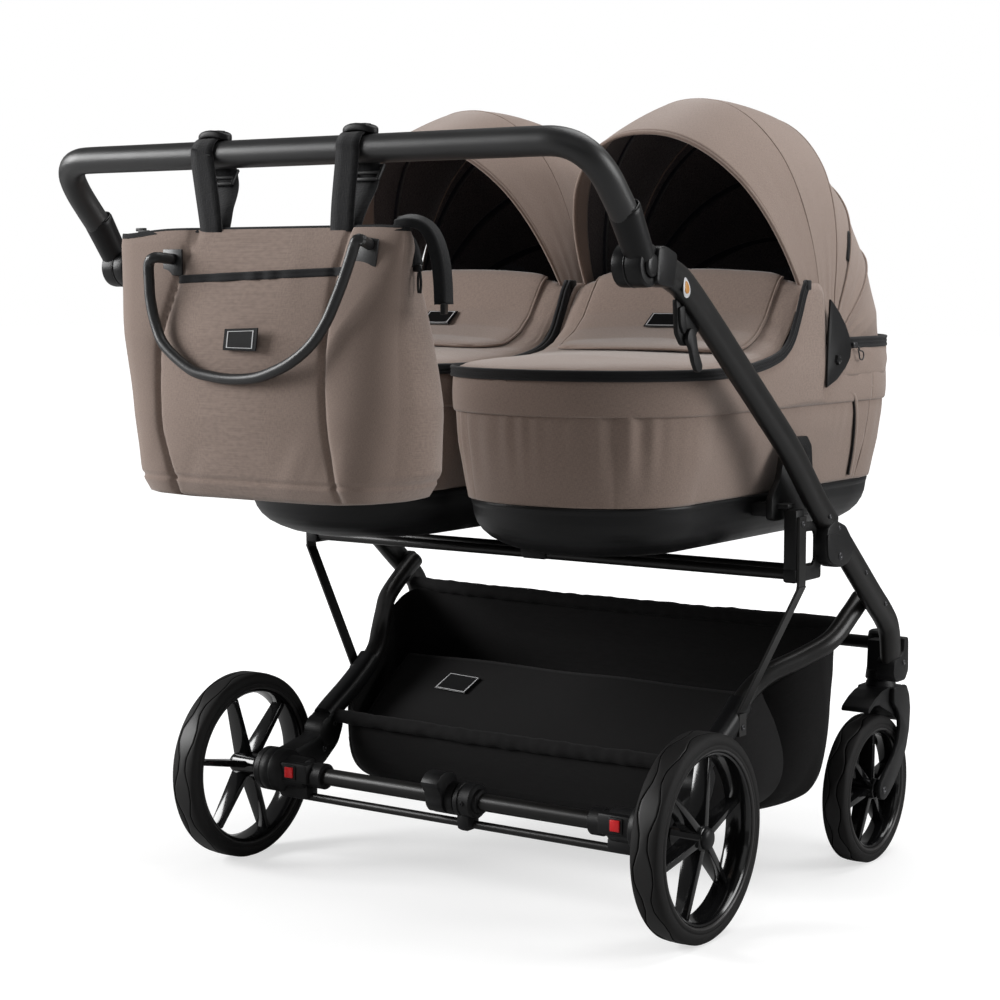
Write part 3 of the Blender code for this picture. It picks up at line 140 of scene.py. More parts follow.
CAMERA_PLACE = (1.8215, -2.6474, 0.8722)
CAMERA_TARGET = (-0.0098, -0.0149, 0.5551)
lens = bpy.data.cameras.new("camera")
lens.lens = 79.73
lens.sensor_width = 36
bpy.context.scene.camera = aimed("camera", lens, CAMERA_PLACE, CAMERA_TARGET)
bpy.context.scene.view_settings.view_transform = "Standard"


# Carrycots, walls: taupe melange cloth over a hoop. A plain collar band runs round the rim and rises at
# each side into a wing beside the hood; below it hangs a skirt that is gathered into the collar's seam.
# The cloth is sewn, zipped to the apron all round, and fixed to the moulded tray at its foot.

AXLE_Y = -0.142             # the rear axle in the frame; the pram's side view is given from it
HANDS = ((-1, "left"), (1, "right"))
TAUPE = (0.272, 0.205, 0.171)
TAUPE_DARK = (0.205, 0.152, 0.127)
COT_X = 0.2
COT_HALF_W = 0.1925
COT_FOOT_Y = -0.118
COT_HEAD_Y = 0.712
COT_FOOT_ROUND = 0.15
COT_HEAD_ROUND = 0.2
COT_BASE_TOP = 0.5776
COT_BASE_HALF_W = 0.168
COT_SEAM = 0.7
COT_RIM = 0.745
COT_TOP_LINE = ((-1.0, COT_RIM), (0.06, 0.7455), (0.11, 0.747), (0.153, 0.751), (0.196, 0.758),
                (0.228, 0.768), (0.252, 0.786), (0.271, 0.818), (0.286, 0.849), (0.297, 0.864),
                (0.311, 0.869), (0.338, 0.869), (0.35, 0.8635), (0.356, 0.85), (0.362, 0.79),
                (0.371, 0.756), (0.38, COT_RIM), (2.0, COT_RIM))
SIDE_SEAM_X = 0.118
HEM_SHARE = 0.06
SKIRT_WALL, COLLAR_WALL = 0.004, 0.0045
SEW_GAP = 1e-5


def at(x, y, z):
    """A place given from the rear axle, in the pram's own frame."""
    return Vector((x, AXLE_Y + y, z))


def along_line(value, rows, column=1):
    """Reads one column of rows whose first numbers are places on a line."""
    return float(np.interp(value, [row[0] for row in rows], [row[column] for row in rows]))


def ramp(value, start, end):
    """0 before the start, 1 past the end, and an even rise between them."""
    return min(max((value - start) / (end - start), 0), 1)


def bell(value, middle, width):
    """A smooth rise to 1 at the middle and back to 0."""
    return math.exp(-((value - middle) / width) ** 2)


def round_bar(radius, count):
    """The places on a circle, as a section for a cord or a tube."""
    turns = [math.tau * k / count for k in range(count)]
    return [(radius * math.cos(turn), radius * math.sin(turn)) for turn in turns]


def node_group(name, inputs, outputs):
    """An empty shader node group with sockets of the given kinds."""
    group = bpy.data.node_groups.new(name, "ShaderNodeTree")
    for socket, kind, value in inputs:
        made = group.interface.new_socket(socket, in_out="INPUT", socket_type=kind)
        if value is not None:
            made.default_value = value
    for socket, kind in outputs:
        group.interface.new_socket(socket, in_out="OUTPUT", socket_type=kind)
    return group, group.nodes.new("NodeGroupInput").outputs, group.nodes.new("NodeGroupOutput")


def build_weave():
    """Melange cloth: threads both ways in slightly different tones, with a soft uneven surface."""
    group, given, made = node_group(
        "melange_weave",
        (("Cloth", "NodeSocketVector", None), ("Thread", "NodeSocketFloat", 0.0008),
         ("Light", "NodeSocketColor", None), ("Dark", "NodeSocketColor", None)),
        (("Color", "NodeSocketColor"), ("Height", "NodeSocketFloat")))
    per_thread = node(group, "Math", {0: 1.0, 1: given["Thread"]}, operation="DIVIDE")
    tones = []
    for stretch in ((0.16, 1.0, 1.0), (1.0, 0.16, 1.0)):
        along = node(group, "VectorMath", {0: given["Cloth"], 1: stretch}, operation="MULTIPLY")
        scaled = node(group, "VectorMath", {0: along.outputs[0], "Scale": per_thread.outputs[0]},
                      operation="SCALE")
        threads = node(group, "TexNoise", {"Vector": scaled.outputs[0], "Scale": 1.0, "Detail": 1.0})
        tones.append(threads.outputs["Fac"])
    both = node(group, "Math", {0: tones[0], 1: tones[1]}, operation="ADD")
    spread = node(group, "MapRange", {"Value": both.outputs[0], "From Min": 0.72, "From Max": 1.28})
    clouds = node(group, "TexNoise", {"Vector": given["Cloth"], "Scale": 26.0, "Detail": 3.0})
    mottle = node(group, "Math", {0: clouds.outputs["Fac"], 1: 0.22, 2: spread.outputs[0]},
                  operation="MULTIPLY_ADD")
    tone = node(group, "Mix", {"Factor": mottle.outputs[0], "A": given["Dark"], "B": given["Light"]},
                data_type="RGBA")
    feed(group, made, {"Color": tone.outputs["Result"], "Height": both.outputs[0]})
    return group


melange_weave = build_weave()


def cloth(name, light, dark, thread=0.0008, sheen=0.25, bump=0.35):
    """A woven cloth whose threads follow the piece's own map, in metres."""
    made = bpy.data.materials.new(name)
    made.use_nodes = True
    tree = made.node_tree
    where = node(tree, "UVMap", {}, uv_map="cloth")
    weave = node(tree, "Group", {"Cloth": where.outputs[0], "Thread": thread, "Light": (*light, 1),
                                 "Dark": (*dark, 1)}, node_tree=melange_weave)
    relief = node(tree, "Bump", {"Strength": bump, "Distance": 0.0006, "Height": weave.outputs["Height"]})
    feed(tree, tree.nodes["Principled BSDF"], {
        "Roughness": 0.92, "Sheen Weight": sheen, "Sheen Roughness": 0.5, "Specular IOR Level": 0.25,
        "Base Color": weave.outputs["Color"], "Normal": relief.outputs[0]})
    return made


taupe_cloth = cloth("taupe_melange", TAUPE, TAUPE_DARK)


def sewn(across, along, place, flat, flip=False):
    """A bmesh sheet of cloth: a grid carried to its place, with its flat cut in metres as its map."""
    bm = bmesh.new()
    bmesh.ops.create_grid(bm, x_segments=across, y_segments=along, size=0.5)
    cut = bm.loops.layers.uv.new("cloth")
    for face in bm.faces:
        for corner in face.loops:
            co = corner.vert.co
            corner[cut].uv = ((co.x + 0.5) * flat[0], (co.y + 0.5) * flat[1])
    for vert in bm.verts:
        vert.co = place(vert.co.x + 0.5, vert.co.y + 0.5)
    bmesh.ops.remove_doubles(bm, verts=bm.verts, dist=SEW_GAP)
    if flip:
        bmesh.ops.reverse_faces(bm, faces=bm.faces)
    return bm


def filled(bm, low=-math.inf, high=math.inf):
    """Closes the open edges between two heights with faces, and turns all faces outward."""
    edges = [e for e in bm.edges if e.is_boundary and all(low < v.co.z < high for v in e.verts)]
    bmesh.ops.holes_fill(bm, edges=edges, sides=0)
    bmesh.ops.recalc_face_normals(bm, faces=bm.faces)
    return bm


def dress(name, bm, material, body, *cad_nodes, smooth=True, wall=0.0):
    """Makes the object with its materials, lets it ride on a body and stand for CAD nodes.

    A sheet gets its wall's thickness inward, with the last of its materials on the inner face."""
    mesh = bpy.data.meshes.new(name)
    bm.to_mesh(mesh)
    bm.free()
    materials = material if isinstance(material, tuple) else (material,)
    for each in materials:
        mesh.materials.append(each)
    mesh.shade_smooth()
    if not smooth:
        mesh.set_sharp_from_angle(angle=math.radians(32))
    made = bpy.data.objects.new(name, mesh)
    bpy.context.scene.collection.objects.link(made)
    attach(made, body)
    if cad_nodes:
        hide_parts(*cad_nodes)
    if wall:
        thick = made.modifiers.new("wall", "SOLIDIFY")
        thick.thickness = wall
        thick.offset = -1.0
        thick.use_even_offset = False
        thick.material_offset = len(materials) - 1
    return made


def even_plan(steps=720):
    """The rim seen from above, in even steps: places, outward directions and the whole length."""
    rough = []
    for end_y, depth, start in ((COT_HEAD_Y, -COT_HEAD_ROUND, 0.0), (COT_FOOT_Y, COT_FOOT_ROUND, math.pi)):
        for i in range(241):
            turn = start + math.pi * i / 240
            rough.append((COT_HALF_W * math.cos(turn), end_y + depth + abs(depth) * math.sin(turn)))
    rough = np.array(rough + rough[:1])
    run = np.concatenate([[0], np.cumsum(np.hypot(*np.diff(rough, axis=0).T))])
    even = np.linspace(0, run[-1], steps + 1)
    xy = np.stack([np.interp(even, run, rough[:, i]) for i in range(2)], axis=1)
    ahead = np.roll(xy[:-1], -1, axis=0) - np.roll(xy[:-1], 1, axis=0)
    ahead /= np.hypot(*ahead.T)[:, None]
    out = np.stack([ahead[:, 1], -ahead[:, 0]], axis=1)
    return xy[:-1], out, run[-1]


plan_xy, plan_out, PLAN_LENGTH = even_plan()


def on_plan(share):
    """A place on the rim's outline and its outward direction; share 0 and 1 are both at the right side."""
    spot = (share % 1.0) * len(plan_xy)
    i, part = int(spot) % len(plan_xy), spot - int(spot)
    j = (i + 1) % len(plan_xy)
    xy = plan_xy[i] * (1 - part) + plan_xy[j] * part
    out = plan_out[i] * (1 - part) + plan_out[j] * part
    return xy, out


def by_plan(middle, xy, out, push, z):
    """A place on a cot's wall: a place of the outline, pushed outward, at a height."""
    return at(middle + xy[0] + out[0] * push, xy[1] + out[1] * push, z)


def lean(z, out):
    """How far the wall has drawn in above the tray, less at the two ends than at the sides."""
    share = ramp(z, COT_BASE_TOP, COT_SEAM)
    return (COT_HALF_W - COT_BASE_HALF_W) * (1 - share) ** 1.6 * (1 - 0.5 * abs(out[1]))


def crease(x, y, z, scale, seed):
    """A smooth value between about -1 and 1 that wanders over the cloth."""
    return noise.noise(Vector((x * scale, y * scale, z * scale + seed)))


for side, hand in HANDS:
    middle = side * COT_X

    def skirt(u, v):
        """The gathered lower wall: folds are deep under the seam and fade towards the tray."""
        xy, out = on_plan(u)
        z = COT_BASE_TOP + (COT_SEAM + 0.003 - COT_BASE_TOP) * v
        run = u * PLAN_LENGTH
        ends = min(1.0, 0.15 + 1.3 * out[1] ** 2)
        gathers = math.sin(run * 210 + 2.2 * math.sin(run * 31 + side))
        folds = gathers * max(0, crease(run, 0, 0.3 * z, 9, 3.1) + 0.25)
        fade = math.sin(min(v * 1.15, 1) * math.pi * 0.5) ** 2 * (1 - 0.35 * v)
        depth = (0.0042 + 0.003 * max(0, -out[1])) * ends * folds * fade
        soft = 0.0026 * crease(run, 1.7 * z, side, 11, 0.0) * math.sin(math.pi * v) ** 0.5
        seams = 0.0016 * (bell(xy[0], -SIDE_SEAM_X, 0.0016) + bell(xy[0], SIDE_SEAM_X, 0.0016))
        return by_plan(middle, xy, out, -lean(z, out) + depth + soft - seams - 0.0012, z)

    def collar(u, v):
        """The plain band above the seam, with its lower edge folded under, up to the zip."""
        xy, out = on_plan(u)
        low, top = COT_SEAM - 0.0035, along_line(xy[1], COT_TOP_LINE)
        if v < HEM_SHARE:
            z, puff = low + 0.0015 * (1 - v / HEM_SHARE), -0.0022 + 0.004 * v / HEM_SHARE
        else:
            share = (v - HEM_SHARE) / (1 - HEM_SHARE)
            z = low + (top - low) * share
            puff = 0.0018 + 0.0022 * math.sin(math.pi * min(share, 1)) ** 0.6
            puff += 0.001 * crease(u * PLAN_LENGTH, z, side, 14, 5.0)
            puff -= 0.0015 * ramp(z, 0.748, 0.778)
        return by_plan(middle, xy, out, puff, z)

    skirt_piece = dress(f"cot_skirt_{hand}", sewn(620, 34, skirt, (PLAN_LENGTH, 0.125)), taupe_cloth,
                        f"carrycot_{hand}", f"carrycot_body_{hand}", wall=SKIRT_WALL)
    collar_piece = dress(f"cot_collar_{hand}", sewn(620, 18, collar, (PLAN_LENGTH, 0.06)), taupe_cloth,
                         f"carrycot_{hand}", wall=COLLAR_WALL)


# Zip round each cot's rim: black tape with two piped edges and a coil between them. It is sewn to the
# collar and to the apron, and climbs the front of each wing, where it ends in a stop.

BAND_SECTION = ((-0.001, -0.0075), (0.0022, -0.0072), (0.0034, -0.0056), (0.0032, -0.004), (0.002, -0.0026),
                (0.0024, -0.0012), (0.0032, 0.0), (0.0024, 0.0012), (0.002, 0.0026), (0.0032, 0.004),
                (0.0034, 0.0056), (0.002, 0.007), (-0.0014, 0.0074))
WING_FRONT = (0.06, 0.305)
FOOT_CENTRE = COT_FOOT_Y + COT_FOOT_ROUND


def fine_path(points, step):
    """A smooth line through the given places, in even steps."""
    rows = np.array([tuple(p) for p in points], float)
    ends = np.vstack([2 * rows[0] - rows[1], rows, 2 * rows[-1] - rows[-2]])
    fine = []
    for a, b, c, d in zip(ends, ends[1:], ends[2:], ends[3:]):
        for t in np.linspace(0, 1, 12, endpoint=False):
            fine.append(0.5 * ((2 * b) + (c - a) * t + (2 * a - 5 * b + 4 * c - d) * t ** 2
                               + (3 * b - a - 3 * c + d) * t ** 3))
    fine = np.array(fine + [rows[-1]])
    run = np.concatenate([[0], np.cumsum(np.linalg.norm(np.diff(fine, axis=0), axis=1))])
    even = np.linspace(0, run[-1], max(int(round(run[-1] / step)), 2) + 1)
    return np.stack([np.interp(even, run, fine[:, i]) for i in range(3)], axis=1)


def swept(route, section, outward):
    """A bmesh bar: a section of (out, up) places carried along a route, closed at both ends.

    outward is the section's out direction, either one for all or one at each place of the route."""
    count = len(section)
    steps = len(route) - 1
    ahead = np.gradient(np.asarray(route, float), axis=0)
    ahead /= np.linalg.norm(ahead, axis=1)[:, None]
    outs = np.array(np.broadcast_to(np.asarray(outward, float), ahead.shape))
    outs -= ahead * np.sum(outs * ahead, axis=1)[:, None]
    outs /= np.linalg.norm(outs, axis=1)[:, None]
    ups = np.cross(outs, ahead)
    if ups[0][2] < -0.01 or (abs(ups[0][2]) <= 0.01 and ups[0][0] < 0):
        ups = -ups

    def place(u, v):
        i = min(int(round(v * steps)), steps)
        k = int(round(u * count)) % count
        return Vector(route[i] + outs[i] * section[k][0] + ups[i] * section[k][1])

    around = sum(math.dist(a, b) for a, b in zip(section, section[1:] + section[:1]))
    length = float(np.sum(np.linalg.norm(np.diff(route, axis=0), axis=1)))
    return filled(sewn(count, steps, place, (around, length)))


def rim_route(middle):
    """The zip's line, down one wing, round the foot and up the other wing, and its outward directions."""
    side_line = [(y, z) for y, z in COT_TOP_LINE if WING_FRONT[0] <= y <= WING_FRONT[1]]
    places = [(middle - COT_HALF_W, y, z) for y, z in reversed(side_line)]
    for i in range(1, 24):
        turn = math.pi + math.pi * i / 24
        y = FOOT_CENTRE + COT_FOOT_ROUND * math.sin(turn)
        places.append((middle + COT_HALF_W * math.cos(turn), y, COT_RIM))
    places += [(middle + COT_HALF_W, y, z) for y, z in side_line]
    route = fine_path(places, 0.006)
    outward = []
    for x, y, z in route:
        reach = min(y - FOOT_CENTRE, 0) / COT_FOOT_ROUND ** 2
        out = np.array(((x - middle) / COT_HALF_W ** 2 if y < FOOT_CENTRE else x - middle, reach, 0.0))
        outward.append(out / np.linalg.norm(out))
    return route, np.array(outward)


def moulded(name, colour, rough, grain, bump, spec=0.5):
    """A moulded or coated surface with a fine grain and faint clouds, on Object coordinates."""
    made = bpy.data.materials.new(name)
    made.use_nodes = True
    tree = made.node_tree
    where = node(tree, "TexCoord", {}).outputs["Object"]
    fine = node(tree, "TexNoise", {"Vector": where, "Scale": grain, "Detail": 2.0})
    cloud = node(tree, "TexNoise", {"Vector": where, "Scale": 14.0, "Detail": 4.0})
    tone = node(tree, "Mix", {"Factor": cloud.outputs["Fac"], "A": (*[c * 0.85 for c in colour], 1),
                              "B": (*[c * 1.2 for c in colour], 1)}, data_type="RGBA")
    gloss = node(tree, "MapRange", {"Value": cloud.outputs["Fac"], "To Min": rough - 0.06,
                                    "To Max": rough + 0.06})
    relief = node(tree, "Bump", {"Strength": bump, "Distance": 0.0004, "Height": fine.outputs["Fac"]})
    feed(tree, tree.nodes["Principled BSDF"], {
        "Specular IOR Level": spec, "Base Color": tone.outputs["Result"], "Roughness": gloss.outputs[0],
        "Normal": relief.outputs[0]})
    return made


zip_tape = cloth("zip_tape", (0.012, 0.012, 0.013), (0.006, 0.006, 0.007), thread=0.0007,
                 sheen=0.1)
zip_metal = moulded("zip_metal", (0.03, 0.03, 0.032), 0.3, 300.0, 0.05)


def block(bm, centre, size, rounding, turn=None):
    """Adds a box of a given size and turn, with rounded edges, to a bmesh."""
    made = bmesh.ops.create_cube(bm, size=1.0)["verts"]
    bmesh.ops.scale(bm, vec=size, verts=made)
    edges = list({e for v in made for e in v.link_edges})
    rounded = bmesh.ops.bevel(bm, geom=edges, offset=rounding, affect="EDGES", segments=2, profile=0.5, material=-1)
    verts = list({v for f in rounded["faces"] for v in f.verts} | {v for v in made if v.is_valid})
    if turn is not None:
        bmesh.ops.rotate(bm, cent=(0, 0, 0), matrix=turn, verts=verts)
    bmesh.ops.translate(bm, vec=centre, verts=verts)


for side, hand in HANDS:
    route, outward = rim_route(side * COT_X)
    route = route + np.array((0, AXLE_Y, 0.0055)) + outward * 0.0035
    band_bm = swept(route, BAND_SECTION, outward)
    for end in (route[0], route[-1]):
        block(band_bm, Vector(end) + Vector((0, 0, -0.003)), (0.008, 0.014, 0.014), 0.002)
    dress(f"cot_zip_{hand}", band_bm, zip_tape, f"carrycot_{hand}")


# Aprons: a padded cover over the baby's legs, zipped in all round. Its cloth rises between the wings to a
# straight top edge, and a rounded wind flap, piped at its edge, lies folded down on it.

APRON_LINE = ((-0.116, 0.749), (-0.1, 0.753), (0.06, 0.755), (0.15, 0.759), (0.196, 0.766),
              (0.232, 0.782), (0.258, 0.804), (0.28, 0.836), (0.296, 0.857), (0.306, 0.864))
APRON_TOP_Y = 0.306
FLAP_LOW_Y = 0.138
APRON_WALL, FLAP_WALL = 0.005, 0.0045
FLAP_LIFT, PIPING_LIFT, PIPING_R = 0.0045, 0.0035, 0.0021


def apron_half(y):
    """Half the apron's width, inside the zip."""
    share = ramp(FOOT_CENTRE - y, 0, COT_FOOT_ROUND)
    return (COT_HALF_W - 0.001) * math.sqrt(max(1 - share ** 2, 0)) + 0.0005


def apron_height(s, y):
    """The apron's upper surface: crowned, puffed beside the zip, and dipping a little in folds."""
    rim = (1 - abs(s)) * max(apron_half(y), 0.02)
    foot = y - COT_FOOT_Y
    puff = 0.011 * (1 - math.exp(-max(min(rim, foot * 1.1), 0) / 0.012))
    crown = 0.01 * (1 - s * s) * min(foot / 0.15, 1)
    return along_line(y, APRON_LINE) + puff + crown - 0.004


for side, hand in HANDS:
    middle = side * COT_X

    def apron(u, v):
        """A place on the apron's cloth, whose rows lie closer towards the foot."""
        s = math.sin((u - 0.5) * math.pi)
        rise = 1 - math.cos(v * math.pi * 0.5) if v < 1 else 1
        y = COT_FOOT_Y + 0.0015 + (APRON_TOP_Y - COT_FOOT_Y) * rise
        x = s * apron_half(y) * (1 - 0.02 * ramp(y, 0.2, 0.25))
        pucker = 0.0016 * bell((1 - abs(s)) * 0.19, 0, 0.02) * crease(s, y, side, 60, 2.0)
        wave = 0.0022 * crease(x, y, side, 9, 7.0)
        return at(middle + x, y, apron_height(s, y) + pucker + wave)

    def flap_place(s, t, lift):
        """A place on the wind flap: s runs across it, and t up it from its rounded lower edge."""
        half = 0.098 + 0.054 * math.sqrt(max(1 - (1 - min(t / 0.42, 1)) ** 2, 0))
        y = FLAP_LOW_Y + (APRON_TOP_Y + 0.001 - FLAP_LOW_Y) * t + 0.014 * s * s * (1 - t)
        x = s * half
        edge = min((1 - abs(s)) * half, (APRON_TOP_Y - FLAP_LOW_Y) * t * 1.2)
        swell = 0.0045 * (1 - math.exp(-edge / 0.01))
        ripple = 0.0014 * crease(x, y, side, 13, 9.0)
        return at(middle + x, y, apron_height(x / apron_half(y), y) + lift + swell + ripple)

    apron_piece = dress(f"cot_apron_{hand}", sewn(90, 110, apron, (0.38, 0.47)), taupe_cloth,
                        f"carrycot_{hand}", f"apron_{hand}", wall=APRON_WALL)
    flap_bm = sewn(60, 50, lambda u, v: flap_place(2 * u - 1, v, FLAP_LIFT), (0.3, 0.2))
    flap_piece = dress(f"apron_flap_{hand}", flap_bm, taupe_cloth, f"carrycot_{hand}", wall=FLAP_WALL)

    edge_line = [flap_place(-1, t, PIPING_LIFT) for t in np.linspace(1, 0, 14)]
    edge_line += [flap_place(s, 0, PIPING_LIFT) for s in np.linspace(-0.9, 0.9, 12)]
    edge_line += [flap_place(1, t, PIPING_LIFT) for t in np.linspace(0, 1, 14)]
    dress(f"apron_piping_{hand}", swept(fine_path(edge_line, 0.004), round_bar(PIPING_R, 8), (0, 0, 1)),
          taupe_cloth, f"carrycot_{hand}")


# Hoods: melange cloth sewn in gores over spring bows that all turn at one pivot by the wing. The front two
# gores swing back over the rear ones. Inside is a dark lining, with a tape over each bow and a taupe facing
# behind the brim, and the lowest rear gore is lined with a paler mesh.

HOOD_PIVOT = (0.388, 0.758)
HOOD_HALF_W = 0.185
HOOD_BULGE = 0.014
HOOD_BACK_IN = 0.0062
HOOD_FOOT_Z = 0.7465
HOOD_SPLIT = 76.0
HOOD_BRIM = 122.8
# Each bow's lean, reach, squareness and centre along the cot
HOOD_BOWS = ((0.0, 0.319, 2.9, 0.388), (16.0, 0.32, 2.7, 0.388), (35.0, 0.327, 2.5, 0.388),
             (55.0, 0.345, 2.3, 0.388), (HOOD_SPLIT, 0.368, 2.2, 0.388), (100.0, 0.381, 2.2, 0.383),
             (HOOD_BRIM, 0.383, 2.25, 0.378))
LINING = (0.12, 0.104, 0.108)
HOOD_WALL, LINING_WALL = 0.0026, 0.0008

lining_cloth = cloth("dark_lining", LINING, (0.012, 0.012, 0.017), thread=0.0009, sheen=0.15)
mesh_lining = cloth("grey_mesh_lining", (0.115, 0.118, 0.13), (0.06, 0.062, 0.07),
                    thread=0.0014, sheen=0.1, bump=0.8)
lining_tape = cloth("lining_tape", (0.014, 0.014, 0.022), (0.008, 0.008, 0.014), thread=0.0008,
                    sheen=0.2)


def hood_point(middle, turn_share, angle, lift=0.0, front=False):
    """A place on the hood. turn_share runs over the arch from the right foot to the left one, and angle is
    the arch's lean in the side view; lift is outward."""
    height, power, centre = (along_line(angle, HOOD_BOWS, column) for column in (1, 2, 3))
    half = HOOD_HALF_W if front else HOOD_HALF_W - HOOD_BACK_IN
    sag = 0.0
    for low, top in zip(HOOD_BOWS, HOOD_BOWS[1:]):
        if low[0] <= angle <= top[0]:
            sag = math.sin(math.pi * (angle - low[0]) / (top[0] - low[0]))
    start = math.asin((0.03 / height) ** (power / 2))
    turn = start + (math.pi - 2 * start) * turn_share
    high = math.sin(turn)
    sag *= (0.004 if angle < HOOD_SPLIT else 0.0036) * min(high * 1.6, 1.0)
    if front:
        height += 0.0042 * max(0, 1 - (angle - HOOD_SPLIT) / 24)
    out = (height + lift - sag) * high ** (2 / power)
    swell = HOOD_BULGE * ramp(high, 0.25, 0.75)
    square = math.copysign(abs(math.cos(turn)) ** (2 / power), math.cos(turn))
    across = (half + swell + lift - sag * 0.5) * square
    rad = math.radians(angle)
    z = max(HOOD_PIVOT[1] + out * math.sin(rad), HOOD_FOOT_Z)
    return at(middle + across, centre + out * math.cos(rad), z)


def hood_bar(name, middle, angle, lift, section, body, material):
    """A piping or a tape along one bow, on the front part when it rides with that."""
    front = body.startswith("hood_front")
    route = fine_path([hood_point(middle, share, angle, lift, front) for share in np.linspace(0, 1, 60)], 0.005)
    dress(name, swept(route, section, route - np.array(at(middle, *HOOD_PIVOT))), material, body)


for side, hand in HANDS:
    middle = side * COT_X
    front_body, back_body = f"hood_front_{hand}", f"carrycot_{hand}"

    def wrinkled(u, angle, front):
        """The hood's cloth with the long soft folds that run down beside the bows near the pivot."""
        place = hood_point(middle, u, angle, 0.0, front)
        low = max(0.0, 1 - 3.2 * min(u, 1 - u))
        beat = math.sin(angle * 0.42 + 3 * side * u)
        fold = 0.0034 * low * abs(beat * crease(u * 2, angle * 0.02, side, 3, 4.0))
        soft = 0.0012 * (1 + crease(place.x, place.y, place.z, 8, 2.0 + side))
        away = (place - at(middle, *HOOD_PIVOT)).normalized()
        return place + away * (fold + soft) * (1 if front else -1)

    def front_cloth(u, v):
        return wrinkled(u, HOOD_BRIM - (HOOD_BRIM - HOOD_SPLIT + 1.0) * v, True)

    def back_cloth(u, v):
        return wrinkled(u, (HOOD_SPLIT + 1.5) * (1 - v) + v, False)

    def facing(u, v):
        return hood_point(middle, u, HOOD_BRIM - 0.2 - 6.5 * v, -0.0034 - 0.001 * v, True)

    def window(u, v):
        return hood_point(middle, 0.06 + 0.88 * u, 33.0 - 29.0 * v, -0.0036)

    front_piece = dress(f"hood_front_{hand}_cloth", sewn(110, 46, front_cloth, (1.0, 0.3), flip=True),
                        (taupe_cloth, lining_cloth), front_body, f"hood_front_{hand}", wall=HOOD_WALL)
    back_piece = dress(f"hood_back_{hand}_cloth", sewn(110, 72, back_cloth, (1.0, 0.5), flip=True),
                       (taupe_cloth, lining_cloth), back_body, f"hood_back_{hand}", wall=HOOD_WALL)
    dress(f"hood_facing_{hand}", sewn(90, 8, facing, (1.0, 0.05)), taupe_cloth, front_body, wall=LINING_WALL)
    dress(f"hood_mesh_{hand}", sewn(90, 24, window, (1.0, 0.16)), mesh_lining, back_body, wall=LINING_WALL)

    roll, seam_cord = round_bar(0.003, 10), round_bar(0.0015, 8)
    tape = ((-0.0014, -0.0065), (-0.0004, -0.0065), (-0.0004, 0.0065), (-0.0014, 0.0065))
    hood_bar(f"hood_brim_{hand}", middle, HOOD_BRIM + 0.2, -0.0012, roll, front_body, taupe_cloth)
    for i, seam_at, lift, tape_at, body in ((1, 100.0, 0.0004, 101.5, front_body),
                                            (2, HOOD_SPLIT - 0.4, 0.0012, 74.0, front_body),
                                            (3, 55.0, 0.0004, 54.0, back_body), (4, 35.0, 0.0004, 34.0, back_body)):
        hood_bar(f"hood_seam_{hand}_{i}", middle, seam_at, lift, seam_cord, body, taupe_cloth)
        hood_bar(f"hood_tape_{hand}_{i}", middle, tape_at, -0.003, tape, front_body if i == 1 else back_body,
                 lining_tape)


# Foot of the hood: a black zip runs round the cot's head end, with a flap of cloth below it, and on each
# side a black leaf-shaped plate with a star-shaped knob covers the pivot.

HEAD_FLAP_LOW, HEAD_FLAP_TOP, HEAD_ZIP_Z = 0.735, 0.7755, 0.783
HEAD_FLAP_END_Y = 0.392
LEAF = ((0.363, 0.846), (0.375, 0.839), (0.393, 0.826), (0.412, 0.809), (0.427, 0.79), (0.431, 0.776),
        (0.428, 0.761), (0.412, 0.746), (0.386, 0.731), (0.355, 0.721), (0.3562, 0.75), (0.3585, 0.795))
PULL_LOOP = ((0.448, 0.777), (0.454, 0.7715), (0.462, 0.77), (0.4665, 0.766), (0.466, 0.76), (0.46, 0.7575),
             (0.454, 0.76), (0.452, 0.766), (0.448, 0.773))
POCKET_SLIT = ((0.4193, 0.7249), (0.4362, 0.7111), (0.453, 0.7016), (0.4642, 0.6688), (0.4759, 0.6238),
               (0.4842, 0.586))
TAB_SECTION = ((-0.0006, -0.0042), (0.0005, -0.0042), (0.0009, -0.0034), (0.0009, 0.0034), (0.0005, 0.0042),
               (-0.0006, 0.0042))
BINDING_SECTION = ((-0.001, -0.0012), (0.0018, -0.0012), (0.0024, 0.0), (0.0018, 0.0012), (-0.001, 0.0012))
FOLD_SECTION = ((-0.001, -0.004), (0.0018, -0.0036), (0.003, -0.001), (0.0026, 0.003), (0.0004, 0.006),
                (-0.001, 0.006))

hard_black = moulded("grained_black_plastic", (0.006, 0.006, 0.0064), 0.46, 1100.0, 0.25, 0.24)
smooth_black = moulded("smooth_black_plastic", (0.0055, 0.0055, 0.006), 0.32, 700.0, 0.06, 0.3)
slit_binding = moulded("pocket_binding", (0.005, 0.0048, 0.005), 0.8, 2600.0, 0.4)


def raised(bm, faces, move):
    """Gives faces of a bmesh a thickness and returns the corners of the moved side."""
    grown = bmesh.ops.extrude_face_region(bm, geom=faces)
    lifted = [g for g in grown["geom"] if isinstance(g, bmesh.types.BMVert)]
    bmesh.ops.translate(bm, vec=move, verts=lifted)
    return lifted


